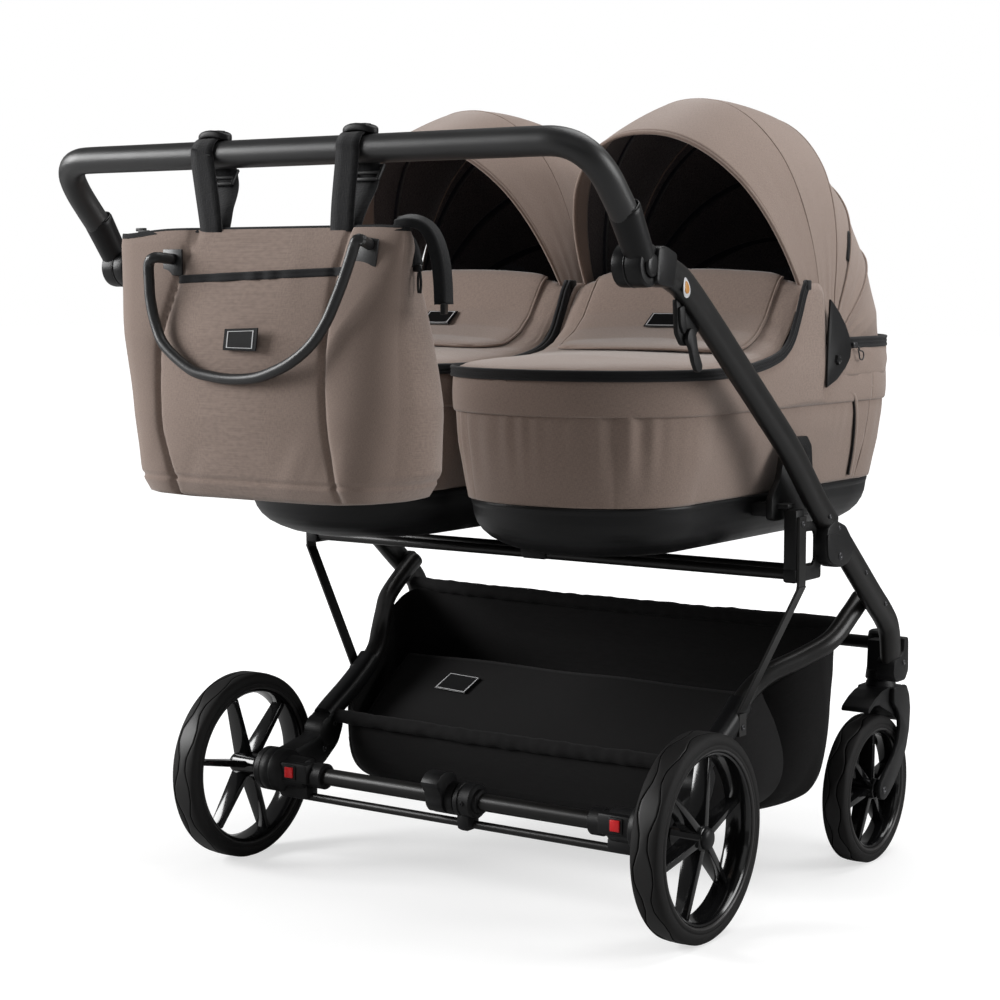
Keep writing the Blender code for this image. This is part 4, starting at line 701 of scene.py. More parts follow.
for side, hand in HANDS:
    middle = side * COT_X
    body = f"carrycot_{hand}"
    start = next(i for i in range(420, len(plan_xy)) if plan_xy[i][1] > HEAD_FLAP_END_Y) / len(plan_xy) - 1.0
    stop = next(i for i in range(240, len(plan_xy)) if plan_xy[i][1] < HEAD_FLAP_END_Y) / len(plan_xy)

    def band(u, v, low, top, push, puff):
        """A place on a band of cloth round the head end."""
        xy, out = on_plan(start + (stop - start) * u)
        grow = push + puff * math.sin(math.pi * v) ** 0.5 + 0.0012 * crease(u * 8, v, side, 3, 1.0)
        return by_plan(middle, xy, out, grow, low + (top - low) * v)

    head_flap_bm = sewn(150, 12, lambda u, v: band(u, v, HEAD_FLAP_LOW, HEAD_FLAP_TOP, 0.003, 0.0014),
                        (0.85, 0.043))
    dress(f"head_flap_{hand}", head_flap_bm, taupe_cloth, body, wall=0.003)

    zip_line = [band(u, 0.5, HEAD_ZIP_Z, HEAD_ZIP_Z, 0.0012, 0.0) for u in np.linspace(0, 1, 80)]
    zip_line = fine_path(zip_line, 0.006)
    outward = zip_line - np.array(at(middle, COT_HEAD_Y - COT_HEAD_ROUND, 0))
    outward[:, 1] = np.maximum(outward[:, 1], 0)
    outward[:, 2] = 0
    slim = [(a * 0.9, b * 1.12) for a, b in BAND_SECTION]
    dress(f"head_zip_{hand}", swept(zip_line, slim, outward), zip_tape, body)

    puller_bm = bmesh.new()
    outer = middle + side * (COT_HALF_W + 0.0075)
    block(puller_bm, at(outer, 0.442, 0.78), (0.005, 0.013, 0.007), 0.0012)
    dress(f"head_puller_{hand}", puller_bm, zip_metal, body, smooth=False)
    loop = fine_path([at(outer + side * 0.003, y, z) for y, z in PULL_LOOP], 0.0015)
    dress(f"head_pull_loop_{hand}", swept(loop, round_bar(0.0011, 8), (side, 0, 0)), zip_metal, body)

    shares = (0.135, 0.195) if side > 0 else (0.865, 0.805)
    low, top = (hood_point(middle, share, 56.5, 0.0004) for share in shares)
    tab_line = fine_path([low, low.lerp(top, 0.5) + Vector((side * 0.0012, 0, 0)), top], 0.004)
    dress(f"hood_tab_{hand}", swept(tab_line, TAB_SECTION, (side, 0.15, 0.2)), smooth_black, body)

    slit = []
    for y, z in POCKET_SLIT:
        near = min(range(len(plan_xy)), key=lambda i: abs(plan_xy[i][1] - y) + (plan_xy[i][0] * side < 0))
        xy, out = plan_xy[near], plan_out[near]
        slit.append(at(middle + xy[0] + out[0] * (0.0008 - lean(z, out)), y, z))
    slit = fine_path(slit, 0.004)
    dress(f"pocket_edge_{hand}", swept(slit, BINDING_SECTION, (side, 0, 0)), slit_binding, body)
    fold_bm = swept(slit + np.array((0, 0.005, 0)), FOLD_SECTION, (side, 0, 0))
    dress(f"pocket_fold_{hand}", fold_bm, taupe_cloth, body)

    for edge in (-1, 1):
        face_x = middle + edge * (COT_HALF_W + 0.0048)
        leaf_bm = bmesh.new()
        leaf_face = leaf_bm.faces.new([leaf_bm.verts.new(at(face_x, y, z)) for y, z in LEAF])
        leaf_bm.normal_update()
        if leaf_face.normal.x * edge < 0:
            bmesh.ops.reverse_faces(leaf_bm, faces=[leaf_face])
        lifted = raised(leaf_bm, [leaf_face], (edge * 0.0028, 0, 0))
        tops = [f for f in leaf_bm.faces if all(v in lifted for v in f.verts)]
        bmesh.ops.inset_region(leaf_bm, faces=tops, thickness=0.0016, depth=0.0009)
        bmesh.ops.recalc_face_normals(leaf_bm, faces=leaf_bm.faces)
        dress(f"hood_leaf_{hand}_{edge + 1}", leaf_bm, hard_black, body, smooth=False)

        knob_bm = bmesh.new()
        star = bmesh.ops.create_circle(knob_bm, segments=40, radius=0.0075, cap_ends=True)
        for vert in star["verts"]:
            vert.co *= 1 + 0.13 * math.cos(5 * math.atan2(vert.co.y, vert.co.x))
        lifted = raised(knob_bm, knob_bm.faces[:], (0, 0, 0.0042))
        bmesh.ops.scale(knob_bm, vec=(0.86, 0.86, 1), verts=lifted)
        tops = [f for f in knob_bm.faces if all(v in lifted for v in f.verts)]
        bmesh.ops.inset_region(knob_bm, faces=tops, thickness=0.0026, depth=-0.001)
        seat = Matrix.Translation(at(face_x + edge * 0.0034, 0.384, 0.76))
        bmesh.ops.transform(knob_bm, matrix=seat @ Matrix.Rotation(math.radians(90 * edge), 4, "Y"),
                            verts=knob_bm.verts)
        bmesh.ops.recalc_face_normals(knob_bm, faces=knob_bm.faces)
        dress(f"hood_knob_{hand}_{edge + 1}", knob_bm, smooth_black, body, smooth=False)


# Trays: each carrycot stands on a moulded satin black tray with a rolled upper lip and rounded flanks. Black
# adaptors grow from it and drop onto the chassis: a broad ear with a release slot outside, a lug inside.

TRAY_SHAPE = ((0.93, -0.001), (0.985, -0.0012), (1.004, 0.0), (1.008, 0.003), (1.003, 0.007), (0.998, 0.009),
              (0.994, 0.014), (0.985, 0.023), (0.96, 0.034), (0.92, 0.044), (0.86, 0.053), (0.78, 0.0605),
              (0.68, 0.067), (0.56, 0.0715), (0.4, 0.0735), (0.2, 0.074))
EAR = ((0.186, 0.575), (0.186, 0.547), (0.196, 0.543), (0.3, 0.543), (0.308, 0.565), (0.308, 0.61),
       (0.304, 0.642), (0.29, 0.656), (0.245, 0.656), (0.23, 0.65), (0.22, 0.63), (0.21, 0.6))
EAR_SLOT = ((0.259, 0.623), (0.259, 0.632), (0.266, 0.644), (0.286, 0.644), (0.295, 0.637), (0.297, 0.623))
SLOT_TONGUE = ((0.264, 0.6275), (0.268, 0.64), (0.285, 0.64), (0.291, 0.6275))
TRAY_MID_Y, TRAY_HALF = (COT_FOOT_Y + COT_HEAD_Y) / 2, (COT_HEAD_Y - COT_FOOT_Y) / 2
EAR_IN, EAR_OUT = COT_X + COT_HALF_W + 0.001, COT_X + COT_HALF_W + 0.011

satin_black = moulded("satin_black_moulding", (0.0055, 0.0055, 0.006), 0.4, 1300.0, 0.14, 0.24)
mattress_cotton = cloth("white_cotton", (0.75, 0.74, 0.72), (0.66, 0.65, 0.63), thread=0.0006,
                        sheen=0.1)
screw_steel = moulded("screw_steel", (0.06, 0.06, 0.063), 0.35, 900.0, 0.05)
screw_steel.node_tree.nodes["Principled BSDF"].inputs["Metallic"].default_value = 0.8


def side_plate(bm, outline, inner, outer, corner=0.0, edge=0.0008):
    """Adds a plate cut to an outline in the side view, with rounded corners and softened edges."""
    verts = [bm.verts.new(at(inner, y, z)) for y, z in outline]
    lifted = raised(bm, [bm.faces.new(verts)], (outer - inner, 0, 0))
    region = list({f for v in verts + lifted for f in v.link_faces})
    if corner:
        across = [e for e in {e for f in region for e in f.edges}
                  if abs(e.verts[0].co.x - e.verts[1].co.x) > abs(outer - inner) * 0.5]
        made = bmesh.ops.bevel(bm, geom=across, offset=corner, affect="EDGES", segments=3, profile=0.5,
                               material=-1, clamp_overlap=True)
        region = set(made["faces"]) | {f for f in region if f.is_valid}
        region = list(region | {g for f in region for e in f.edges for g in e.link_faces})
    flats = [f for f in region if f.is_valid and len({round(v.co.x, 6) for v in f.verts}) == 1]
    rims = list({e for f in flats for e in f.edges})
    bmesh.ops.bevel(bm, geom=rims, offset=edge, affect="EDGES", segments=2, profile=0.5, material=-1,
                    clamp_overlap=True)
    bmesh.ops.recalc_face_normals(bm, faces=bm.faces)


def lathe(bm, profile, centre, axis, steps=40, closed=False):
    """Spins a profile of (radius, along) places about an axis through a centre."""
    axis = Vector(axis).normalized()
    centre = Vector(centre)
    aside = axis.orthogonal().normalized()
    verts = [bm.verts.new(centre + aside * r + axis * a) for r, a in profile]
    edges = [bm.edges.new(pair) for pair in zip(verts, verts[1:])]
    if closed:
        edges.append(bm.edges.new((verts[-1], verts[0])))
    bmesh.ops.spin(bm, geom=verts + edges, cent=centre, axis=axis, angle=math.tau, steps=steps, use_merge=True)
    bmesh.ops.remove_doubles(bm, verts=bm.verts, dist=2e-6)
    bmesh.ops.recalc_face_normals(bm, faces=bm.faces)


def rod(bm, radius, low, high, centre, axis, steps):
    """Adds a plain round rod that runs from low to high along its axis."""
    lathe(bm, ((0.0, low), (radius, low), (radius, high), (0.0, high)), centre, axis, steps)


def screw(bm, place, axis, radius=0.004):
    """A low domed screw head with a socket in it."""
    lathe(bm, ((0.0, 0.0002), (radius * 0.42, 0.0002), (radius * 0.46, 0.0012), (radius * 0.8, 0.0011),
               (radius, 0.0005), (radius * 1.02, -0.0012), (0.0, -0.0012)), place, axis, 14)


for side, hand in HANDS:
    middle = side * COT_X
    body = f"carrycot_{hand}"

    def tray(u, v):
        """A place on the tray's skin, from its rolled lip down and in to its bottom."""
        row = v * (len(TRAY_SHAPE) - 1)
        share, drop = (float(np.interp(row, range(len(TRAY_SHAPE)), column)) for column in zip(*TRAY_SHAPE))
        xy, out = on_plan(u)
        wide = COT_BASE_HALF_W / COT_HALF_W * (1 - 0.8 * (1 - share))
        long = 1 - (0.013 + 1.1 * COT_FOOT_ROUND * (1 - share)) / TRAY_HALF
        y = TRAY_MID_Y + (xy[1] - TRAY_MID_Y) * long
        return at(middle + xy[0] * wide, y, COT_BASE_TOP - 0.0006 - drop)

    tray_bm = filled(sewn(180, 45, tray, (2.0, 0.2)))
    dress(f"cot_tray_{hand}", tray_bm, satin_black, body, f"carrycot_tray_{hand}")

    ear_bm = bmesh.new()
    side_plate(ear_bm, EAR, side * EAR_IN, side * EAR_OUT, corner=0.003, edge=0.0016)
    block(ear_bm, at(side * 0.359, 0.247, 0.5575), (0.069, 0.096, 0.019), 0.003)
    block(ear_bm, at(side * 0.041, 0.211, 0.5655), (0.078, 0.021, 0.009), 0.002)
    block(ear_bm, at(side * 0.372, 0.2105, 0.564), (0.098, 0.0215, 0.0066), 0.0015)
    dress(f"cot_adaptor_{hand}", ear_bm, hard_black, body, smooth=False)

    slot_bm = bmesh.new()
    sunk = side * (EAR_OUT - 0.001)
    side_plate(slot_bm, EAR_SLOT, sunk, side * (EAR_OUT + 0.001), corner=0.002, edge=0.0007)
    side_plate(slot_bm, SLOT_TONGUE, sunk, side * (EAR_OUT + 0.0016), corner=0.001, edge=0.0004)
    dress(f"cot_adaptor_slot_{hand}", slot_bm, smooth_black, body, smooth=False)

    screw_bm = bmesh.new()
    screw(screw_bm, at(side * EAR_OUT, 0.301, 0.606), (side, 0, 0), 0.0034)
    dress(f"cot_adaptor_screw_{hand}", screw_bm, screw_steel, body)

    low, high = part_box(f"mattress_{hand}")

    def mattress(u, v):
        """A cushion under the apron: crowned above, with rounded, softly pulled sides."""
        turn = math.tau * u
        x = 0.5 * (high[0] - low[0]) * math.copysign(abs(math.cos(turn)) ** 0.55, math.cos(turn))
        y = 0.5 * (high[1] - low[1]) * math.copysign(abs(math.sin(turn)) ** 0.62, math.sin(turn))
        rise = math.sin(math.pi * (v - 0.5))
        draw = max(1 - abs(rise) ** 3.2, 0.0) ** (1 / 2.6)
        z = 0.5 * (low[2] + high[2]) + 0.5 * (high[2] - low[2]) * rise * (0.86 + 0.14 * draw)
        return ((low[0] + high[0]) / 2 + x * draw, (low[1] + high[1]) / 2 + y * draw, z)

    cushion = dress(f"cot_mattress_{hand}", filled(sewn(72, 28, mattress, (1.8, 0.4))), mattress_cotton, body,
                    f"mattress_{hand}")


# Bag: a soft zipped shopper in the cots' melange cloth. Its front is a puffed panel between two curved
# seams, its sides are wide gussets that swell, and its base is a separate panel. It hangs on two web straps.

BAG_X = -0.0398
BAG_LOW, BAG_TOP = 0.6, 0.9375
BAG_MID_Y = -0.314
# Up the bag: share of its height, half width, front, back and the swell of its sides
BAG_WIDTHS = ((0.0, 0.172), (0.06, 0.179), (0.25, 0.19), (0.5, 0.205), (0.75, 0.22), (0.92, 0.232), (1.0, 0.236))
BAG_FRONTS = ((0.0, -0.402), (0.05, -0.4095), (0.3, -0.412), (0.6, -0.404), (0.85, -0.387), (1.0, -0.374))
BAG_BACKS = ((0.0, -0.224), (0.05, -0.219), (0.3, -0.232), (0.6, -0.268), (0.85, -0.316), (1.0, -0.35))
BAG_SWELLS = ((0.0, 0.03), (0.1, 0.046), (0.35, 0.04), (0.6, 0.02), (0.85, 0.004), (1.0, 0.0))
LEFT_SEAM = ((0.6, -0.15), (0.6194, -0.1498), (0.6805, -0.1695), (0.7332, -0.1764), (0.7847, -0.176),
             (0.8182, -0.169), (0.8722, -0.155), (0.9202, -0.1409), (0.94, -0.138))
RIGHT_SEAM = ((0.6, 0.114), (0.6243, 0.1119), (0.6788, 0.1037), (0.7376, 0.0976), (0.7876, 0.0979),
              (0.8771, 0.1025), (0.931, 0.1144), (0.945, 0.116))
BASE_SEAM = 0.621
POCKET = ((-0.157, 0.874), (0.122, 0.8835))
POCKET_RUN = 0.263


def pocket_z(x):
    """The height of the pocket's zip above a place on the front."""
    return POCKET[0][1] + (POCKET[1][1] - POCKET[0][1]) * (x - POCKET[0][0]) / POCKET_RUN


def bag_place(u, v):
    """A place on the bag: u runs round it from the right side, v up it from the edge of its base."""
    z = BAG_LOW + (BAG_TOP - BAG_LOW) * v
    half_w = along_line(v, BAG_WIDTHS)
    front, back = along_line(v, BAG_FRONTS), along_line(v, BAG_BACKS)
    half_d, mid_y = (back - front) / 2, (back + front) / 2
    turn = math.tau * u
    c, s = math.cos(turn), -math.sin(turn)
    x = half_w * math.copysign(abs(c) ** 0.34, c)
    y = half_d * math.copysign(abs(s) ** 0.34, s)
    depth = y / half_d
    x += math.copysign(along_line(v, BAG_SWELLS) * (1 - depth * depth), c) * (1.0 if c > 0 else 0.35)
    place = at(BAG_X + x, mid_y + y, z)
    out = Vector((c * abs(c), s * abs(s) * half_w / max(half_d, 0.05) * 0.6, 0)).normalized()
    push = 0.0
    if s < 0:
        left, right = along_line(z, LEFT_SEAM), along_line(z, RIGHT_SEAM)
        flat = min(max(-depth * 2.4 - 1.2, 0), 1)
        push -= 0.0045 * flat * (bell(place.x, left, 0.0035) + bell(place.x, right, 0.0035))
        share = (place.x - left) / (right - left)
        if 0 < share < 1:
            dome = math.sin(math.pi * share) ** 0.6 * math.sin(math.pi * min(v * 1.05, 1)) ** 0.7
            push += 0.012 * flat * dome
            below = abs(z - pocket_z(place.x))
            puckers = math.sin(place.x * 160 + 1.7 * math.sin(place.x * 47)) * math.exp(-below / 0.03)
            push += 0.0013 * flat * puckers * math.sin(math.pi * share)
        else:
            beside = place.x - right if share >= 1 else left - place.x
            push += 0.006 * flat * (1 - math.exp(-max(beside, 0) / 0.012))
    gusset = max(0.0, 1 - abs(depth))
    push += 0.007 * gusset * crease(place.y * 1.2, z * 0.55, c > 0, 17, 5.0)
    push += 0.0035 * crease(place.x, place.y, z, 9, 11.0) * math.sin(math.pi * min(v + 0.05, 1))
    push += 0.0028 * bell(z, 0.64, 0.035) * crease(place.x * 3.2 - z * 1.6, place.y * 2, z * 0.5, 9, 3.0)
    push -= 0.0032 * bell(z, BASE_SEAM, 0.003)
    push -= 0.0025 * ramp(v, 0.965, 1.0)
    dip = 0.0065 * bell(place.x, -0.262, 0.05) + 0.002 * bell(place.x, 0.2, 0.03)
    place.z -= dip * ramp(v, 0.7, 1.0)
    return place + out * push


bag_bm = sewn(320, 120, bag_place, (1.35, 0.34))
base = [e for e in bag_bm.edges if e.is_boundary and max(v.co.z for v in e.verts) < BAG_LOW + 0.015]
for shrink, drop in ((0.955, 0.00225), (0.8, 0.0035), (0.5, 0.004)):
    grown = bmesh.ops.extrude_edge_only(bag_bm, edges=base)["geom"]
    base = [g for g in grown if isinstance(g, bmesh.types.BMEdge)]
    for vert in [g for g in grown if isinstance(g, bmesh.types.BMVert)]:
        vert.co.x = BAG_X + (vert.co.x - BAG_X) * shrink
        vert.co.y = AXLE_Y + BAG_MID_Y + (vert.co.y - AXLE_Y - BAG_MID_Y) * shrink
        vert.co.z -= drop
bmesh.ops.holes_fill(bag_bm, edges=base, sides=0)
bmesh.ops.recalc_face_normals(bag_bm, faces=bag_bm.faces)
dress("bag_body", bag_bm, taupe_cloth, "bag", "bag")


# Bag, zips: a black zip closes the top from end to end, and its tape runs on past the right end as a loose
# tail with a moulded end. A second zip, in a black welt, crosses the front panel over the pocket.

TOP_MID_Y = -0.362
TAIL_LINE = ((0.176, -0.362, 0.943), (0.192, -0.358, 0.945), (0.205, -0.35, 0.942), (0.2145, -0.344, 0.933),
             (0.2225, -0.341, 0.916), (0.2285, -0.34, 0.893), (0.2315, -0.34, 0.868), (0.2325, -0.34, 0.844))
TAIL_SECTION = ((-0.0008, -0.0125), (0.0008, -0.0125), (0.001, -0.0036), (0.0026, -0.003), (0.003, 0.0),
                (0.0026, 0.003), (0.001, 0.0036), (0.0008, 0.0125), (-0.0008, 0.0125))
WELT_SECTION = ((-0.0016, -0.0052), (0.0012, -0.0052), (0.002, -0.003), (0.0012, -0.0008), (0.0012, 0.0008),
                (0.002, 0.003), (0.0012, 0.0052), (-0.0016, 0.0052))


def bag_mouth(u, v):
    """The closed top edge of the bag, drawn together towards the zip."""
    place = bag_place(u, 0.985) + Vector((0, 0, 0.0015 + 0.0065 * math.sin(math.pi * 0.5 * min(v * 1.2, 1))))
    closing = 1.02 - 0.55 * ramp(place.z, 0.928, 0.942) ** 2
    place.y = AXLE_Y + TOP_MID_Y + (place.y - AXLE_Y - TOP_MID_Y) * closing
    return place


def front_of_bag(x, z, lift):
    """The place on the bag's front above x and z, pushed outward by the lift."""
    v = (z - BAG_LOW) / (BAG_TOP - BAG_LOW)
    low, high = 0.12, 0.38
    for i in range(26):
        u = (low + high) / 2
        if bag_place(u, v).x > x:
            low = u
        else:
            high = u
    return bag_place(u, v) - Vector((0, lift, 0))


dress("bag_top_zip", filled(sewn(320, 8, bag_mouth, (1.2, 0.02)), low=0.938), zip_tape, "bag")

tail = fine_path([at(*p) for p in TAIL_LINE], 0.004)
tail_out = [(0.55 + 0.25 * i / len(tail), -0.45, 1.0 - i / len(tail)) for i in range(len(tail))]
dress("bag_zip_tail", swept(tail, TAIL_SECTION, tail_out), zip_tape, "bag")
ends_bm = bmesh.new()
block(ends_bm, at(0.233, -0.34, 0.8385), (0.006, 0.028, 0.013), 0.0015,
      Matrix.Rotation(math.radians(28), 3, "Z"))
block(ends_bm, at(-0.246, -0.3615, 0.9395), (0.015, 0.006, 0.0045), 0.001)
block(ends_bm, at(-0.234, -0.369, 0.937), (0.02, 0.0018, 0.003), 0.0006)
dress("bag_zip_ends", ends_bm, hard_black, "bag", smooth=False)

welt_x = np.linspace(POCKET[0][0] + 0.002, POCKET[1][0], 40)
welt = fine_path([front_of_bag(x, pocket_z(x), 0.0004) for x in welt_x], 0.004)
dress("bag_pocket_zip", swept(welt, WELT_SECTION, (0, -1, 0.08)), zip_tape, "bag")


# Bag, plate: a bare black plate with a fine bright inset frame, riveted to the front panel.

pale_frame = moulded("pale_inset_frame", (0.55, 0.55, 0.56), 0.4, 300.0, 0.03)
PLATE_THICK, FRAME_WIDE = 0.002, 0.055


def bare_plate(name, corners, outward, body, frame_at=0.22):
    """A thin dark plate on four places, and the narrow pale frame let into its face."""
    outward = Vector(outward).normalized()
    centre = sum(corners, Vector()) / 4
    bm = bmesh.new()
    face = bm.faces.new([bm.verts.new(c) for c in corners])
    bm.normal_update()
    if face.normal.dot(outward) < 0:
        bmesh.ops.reverse_faces(bm, faces=[face])
    raised(bm, [face], outward * PLATE_THICK)
    bmesh.ops.recalc_face_normals(bm, faces=bm.faces)
    bmesh.ops.bevel(bm, geom=bm.edges[:], offset=0.0005, affect="EDGES", segments=1, profile=0.5, material=-1)
    dress(name, bm, smooth_black, body, smooth=False)

    frame_bm = bmesh.new()
    edges = []
    for share in (1 - frame_at, 1 - frame_at - FRAME_WIDE):
        ring = [frame_bm.verts.new(centre + (c - centre) * share + outward * 0.00225) for c in corners]
        edges += [frame_bm.edges.new((ring[i], ring[(i + 1) % 4])) for i in range(4)]
    bmesh.ops.bridge_loops(frame_bm, edges=edges)
    raised(frame_bm, frame_bm.faces[:], outward * 0.0003)
    bmesh.ops.recalc_face_normals(frame_bm, faces=frame_bm.faces)
    dress(name + "_frame", frame_bm, pale_frame, body, smooth=False)


corners = [front_of_bag(x, z, 0)
           for x, z in ((-0.05, 0.786), (-0.046, 0.8125), (0.009, 0.8145), (0.005, 0.7855))]
front = min(c.y for c in corners) - 0.0035
bare_plate("bag_plate", [Vector((c.x, front, c.z)) for c in corners], (0, -1, 0.05), "bag")


# Bag, straps: each black web strap is sewn to the bag's top, goes up in front of the bar, over it and down
# behind, and is taken up in a slider clip that sits on the bar. A ladder clip joins it behind.

BAR_Y, BAR_Z = -0.33, 1.035
BAR_R = 0.018
OVER_BAR = BAR_R + 0.0032
WEB_SECTION = ((-0.0009, -0.018), (0.0009, -0.018), (0.0009, -0.006), (0.0009, 0.006), (0.0009, 0.018),
               (-0.0009, 0.018))
black_web = cloth("black_webbing", (0.01, 0.01, 0.011), (0.005, 0.005, 0.006), thread=0.0016,
                  sheen=0.15, bump=0.8)

for hand, top_x, foot_x in (("left", -0.147, -0.113), ("right", 0.0935, 0.102)):
    line = [(foot_x, -0.372, 0.933), (foot_x, -0.3722, 0.942), (foot_x * 0.7 + top_x * 0.3, -0.366, 0.973)]
    for degrees in (196, 172, 140, 110, 80, 50, 20, -8):
        turn = math.radians(degrees)
        line.append((top_x, BAR_Y + OVER_BAR * math.cos(turn), BAR_Z + OVER_BAR * math.sin(turn)))
    line += [(top_x + 0.35 * (foot_x - top_x), -0.315, 0.995),
             (top_x + 0.75 * (foot_x - top_x), -0.342, 0.962), (foot_x, -0.356, 0.942), (foot_x, -0.3575, 0.933)]
    route = fine_path([at(*p) for p in line], 0.004)
    ahead = np.gradient(route, axis=0)
    out = np.stack([np.zeros(len(route)), -ahead[:, 2], ahead[:, 1]], axis=1)
    dress(f"bag_strap_{hand}_web", swept(route, WEB_SECTION, out), black_web, "bag", f"bag_strap_{hand}")

    clip_bm = bmesh.new()
    disc = bmesh.ops.create_circle(clip_bm, segments=36, radius=1.0, cap_ends=True)
    for vert in disc["verts"]:
        x, y = vert.co.x, vert.co.y
        vert.co = (0.0255 * math.copysign(abs(x) ** 0.7, x), 0.0125 * math.copysign(abs(y) ** 0.9, y), 0)
    raised(clip_bm, clip_bm.faces[:], (0, 0, 0.0095))
    bmesh.ops.recalc_face_normals(clip_bm, faces=clip_bm.faces)
    caps = [e for e in clip_bm.edges if abs(e.verts[0].co.z - e.verts[1].co.z) < 1e-6]
    bmesh.ops.bevel(clip_bm, geom=caps, offset=0.0028, affect="EDGES", segments=3, profile=0.5, material=-1)
    for vert in clip_bm.verts:
        vert.co.z += 0.0045 - 9.0 * vert.co.x ** 2
    block(clip_bm, (0, -0.0005, 0.012), (0.026, 0.013, 0.0035), 0.0012)
    clip_x = top_x + 0.003
    bmesh.ops.translate(clip_bm, vec=at(clip_x, BAR_Y + 0.002, BAR_Z + BAR_R - 0.0005), verts=clip_bm.verts)
    dress(f"bag_clip_{hand}", clip_bm, hard_black, "bag")

    ladder_bm = bmesh.new()
    for k in range(3):
        block(ladder_bm, at(clip_x, -0.308 - 0.0058 * k, 1.015 - 0.0085 * k), (0.044, 0.004, 0.0045), 0.0012)
    for edge in (-0.0205, 0.0205):
        block(ladder_bm, at(clip_x + edge, -0.3138, 1.0065), (0.004, 0.0045, 0.024), 0.0012,
              Matrix.Rotation(math.radians(-34), 3, "X"))
    dress(f"bag_ladder_{hand}", ladder_bm, hard_black, "bag", smooth=False)


# Bag, hook: a short web loop at the right end of the top carries a black snap hook.

HOOK_LOOP = ((0.176, -0.36, 0.933), (0.188, -0.352, 0.92), (0.193, -0.347, 0.902), (0.1945, -0.345, 0.89))
HOOK_WEB = ((-0.0012, -0.009), (0.0012, -0.009), (0.0012, 0.009), (-0.0012, 0.009))
hook_web_bm = swept(fine_path([at(*p) for p in HOOK_LOOP], 0.004), HOOK_WEB, (0.8, -0.6, 0.3))
dress("bag_hook_web", hook_web_bm, black_web, "bag")
ring = []
for k in range(25):
    turn = math.radians(-60 + 300 * k / 24)
    c, s = math.cos(turn), math.sin(turn)
    ring.append(at(0.1985 + 0.0045 * c, -0.3435 - 0.003 * c, 0.87 + 0.014 * s))
ring = fine_path(ring, 0.002)
hook_bm = swept(ring, round_bar(0.0017, 8), np.cross(np.gradient(ring, axis=0), (0.55, 0.83, 0.0)))
block(hook_bm, at(0.1965, -0.3445, 0.8875), (0.012, 0.006, 0.009), 0.002)
dress("bag_hook", hook_bm, smooth_black, "bag")


# Bag, grip: a stiff round cord in black leatherette hangs in a bow on the front. Its ends turn in towards
# two leatherette tabs that are stitched to the front panel.

GRIP_SHIFT = 0.023
GRIP_R = 0.007
GRIP = ((-0.193, 0.902), (-0.2035, 0.893), (-0.203, 0.87), (-0.201, 0.8476), (-0.19, 0.816),
        (-0.17, 0.789), (-0.1249, 0.761), (-0.09, 0.753), (-0.0561, 0.7503), (-0.02, 0.7525),
        (0.0095, 0.76), (0.042, 0.774), (0.071, 0.796), (0.09, 0.822), (0.1045, 0.85), (0.118, 0.878),
        (0.129, 0.904), (0.134, 0.916), (0.14, 0.922))
leatherette = moulded("black_leatherette", (0.013, 0.013, 0.0135), 0.42, 620.0, 0.45)
grip_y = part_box("bag_grip")[0][1] + 0.0053 + 0.006
grip_line = [(x + GRIP_SHIFT, grip_y - 0.01 * bell(z, 0.76, 0.05), z) for x, z in GRIP]
grip_line = [front_of_bag(-0.16, 0.9, 0.0052)] + grip_line + [front_of_bag(0.158, 0.916, 0.0052)]
dress("bag_grip_cord", swept(fine_path(grip_line, 0.004), round_bar(GRIP_R, 14), (0, -1, 0)), leatherette,
      "bag_grip", "bag_grip")
tab_bm = bmesh.new()
for x, z, tilt in ((-0.163, 0.896, 0), (0.152, 0.908, 8)):
    block(tab_bm, front_of_bag(x, z, 0.0015), (0.033, 0.003, 0.034), 0.0012,
          Matrix.Rotation(math.radians(tilt), 3, "Y"))
dress("bag_grip_tabs", tab_bm, leatherette, "bag", smooth=False)


# Aprons, plates: the same kind of bare plate with its pale frame, riveted to the middle of each wind flap.

PLATE_HALF_W = 0.027
PLATE_LOW, PLATE_TOP = FLAP_LOW_Y + 0.086, FLAP_LOW_Y + 0.112
for side, hand in HANDS:
    corners = [at(side * COT_X + x, y, apron_height(x / apron_half(y), y) + 0.0112)
               for x, y in ((-PLATE_HALF_W, PLATE_LOW), (PLATE_HALF_W, PLATE_LOW),
                            (PLATE_HALF_W, PLATE_TOP), (-PLATE_HALF_W, PLATE_TOP))]
    upward = (corners[1] - corners[0]).cross(corners[3] - corners[0])
    bare_plate(f"apron_plate_{hand}", corners, upward, f"carrycot_{hand}", 0.12)


# Handle: one bent tube in padded black leatherette, held at each end in the sleeve of a moulded yoke. Each
# yoke turns on a hub at the top of the side frame, and the hub has a round push button on its outer face.

HANDLE_X = 0.4335
HUB_OUT = HANDLE_X + 0.013
HUB_IN = HUB_OUT - 0.0226
PIVOT = (-0.211, 0.891)
BAR_HALF = ((HANDLE_X, -0.236, 0.934), (HANDLE_X, -0.252, 0.951), (0.4333, -0.273, 0.974),
            (0.4315, -0.293, 0.996), (0.424, -0.311, 1.015), (0.409, -0.323, 1.028), (0.388, -0.329, 1.034),
            (0.36, BAR_Y, BAR_Z), (0.3, BAR_Y, BAR_Z), (0.2, BAR_Y, BAR_Z), (0.1, BAR_Y, BAR_Z), (0.0, BAR_Y, BAR_Z))
HUB_ARM = ((-0.206, 0.869), (-0.201, 0.913), (-0.184, 0.915), (-0.156, 0.905), (-0.164, 0.864), (-0.185, 0.865))

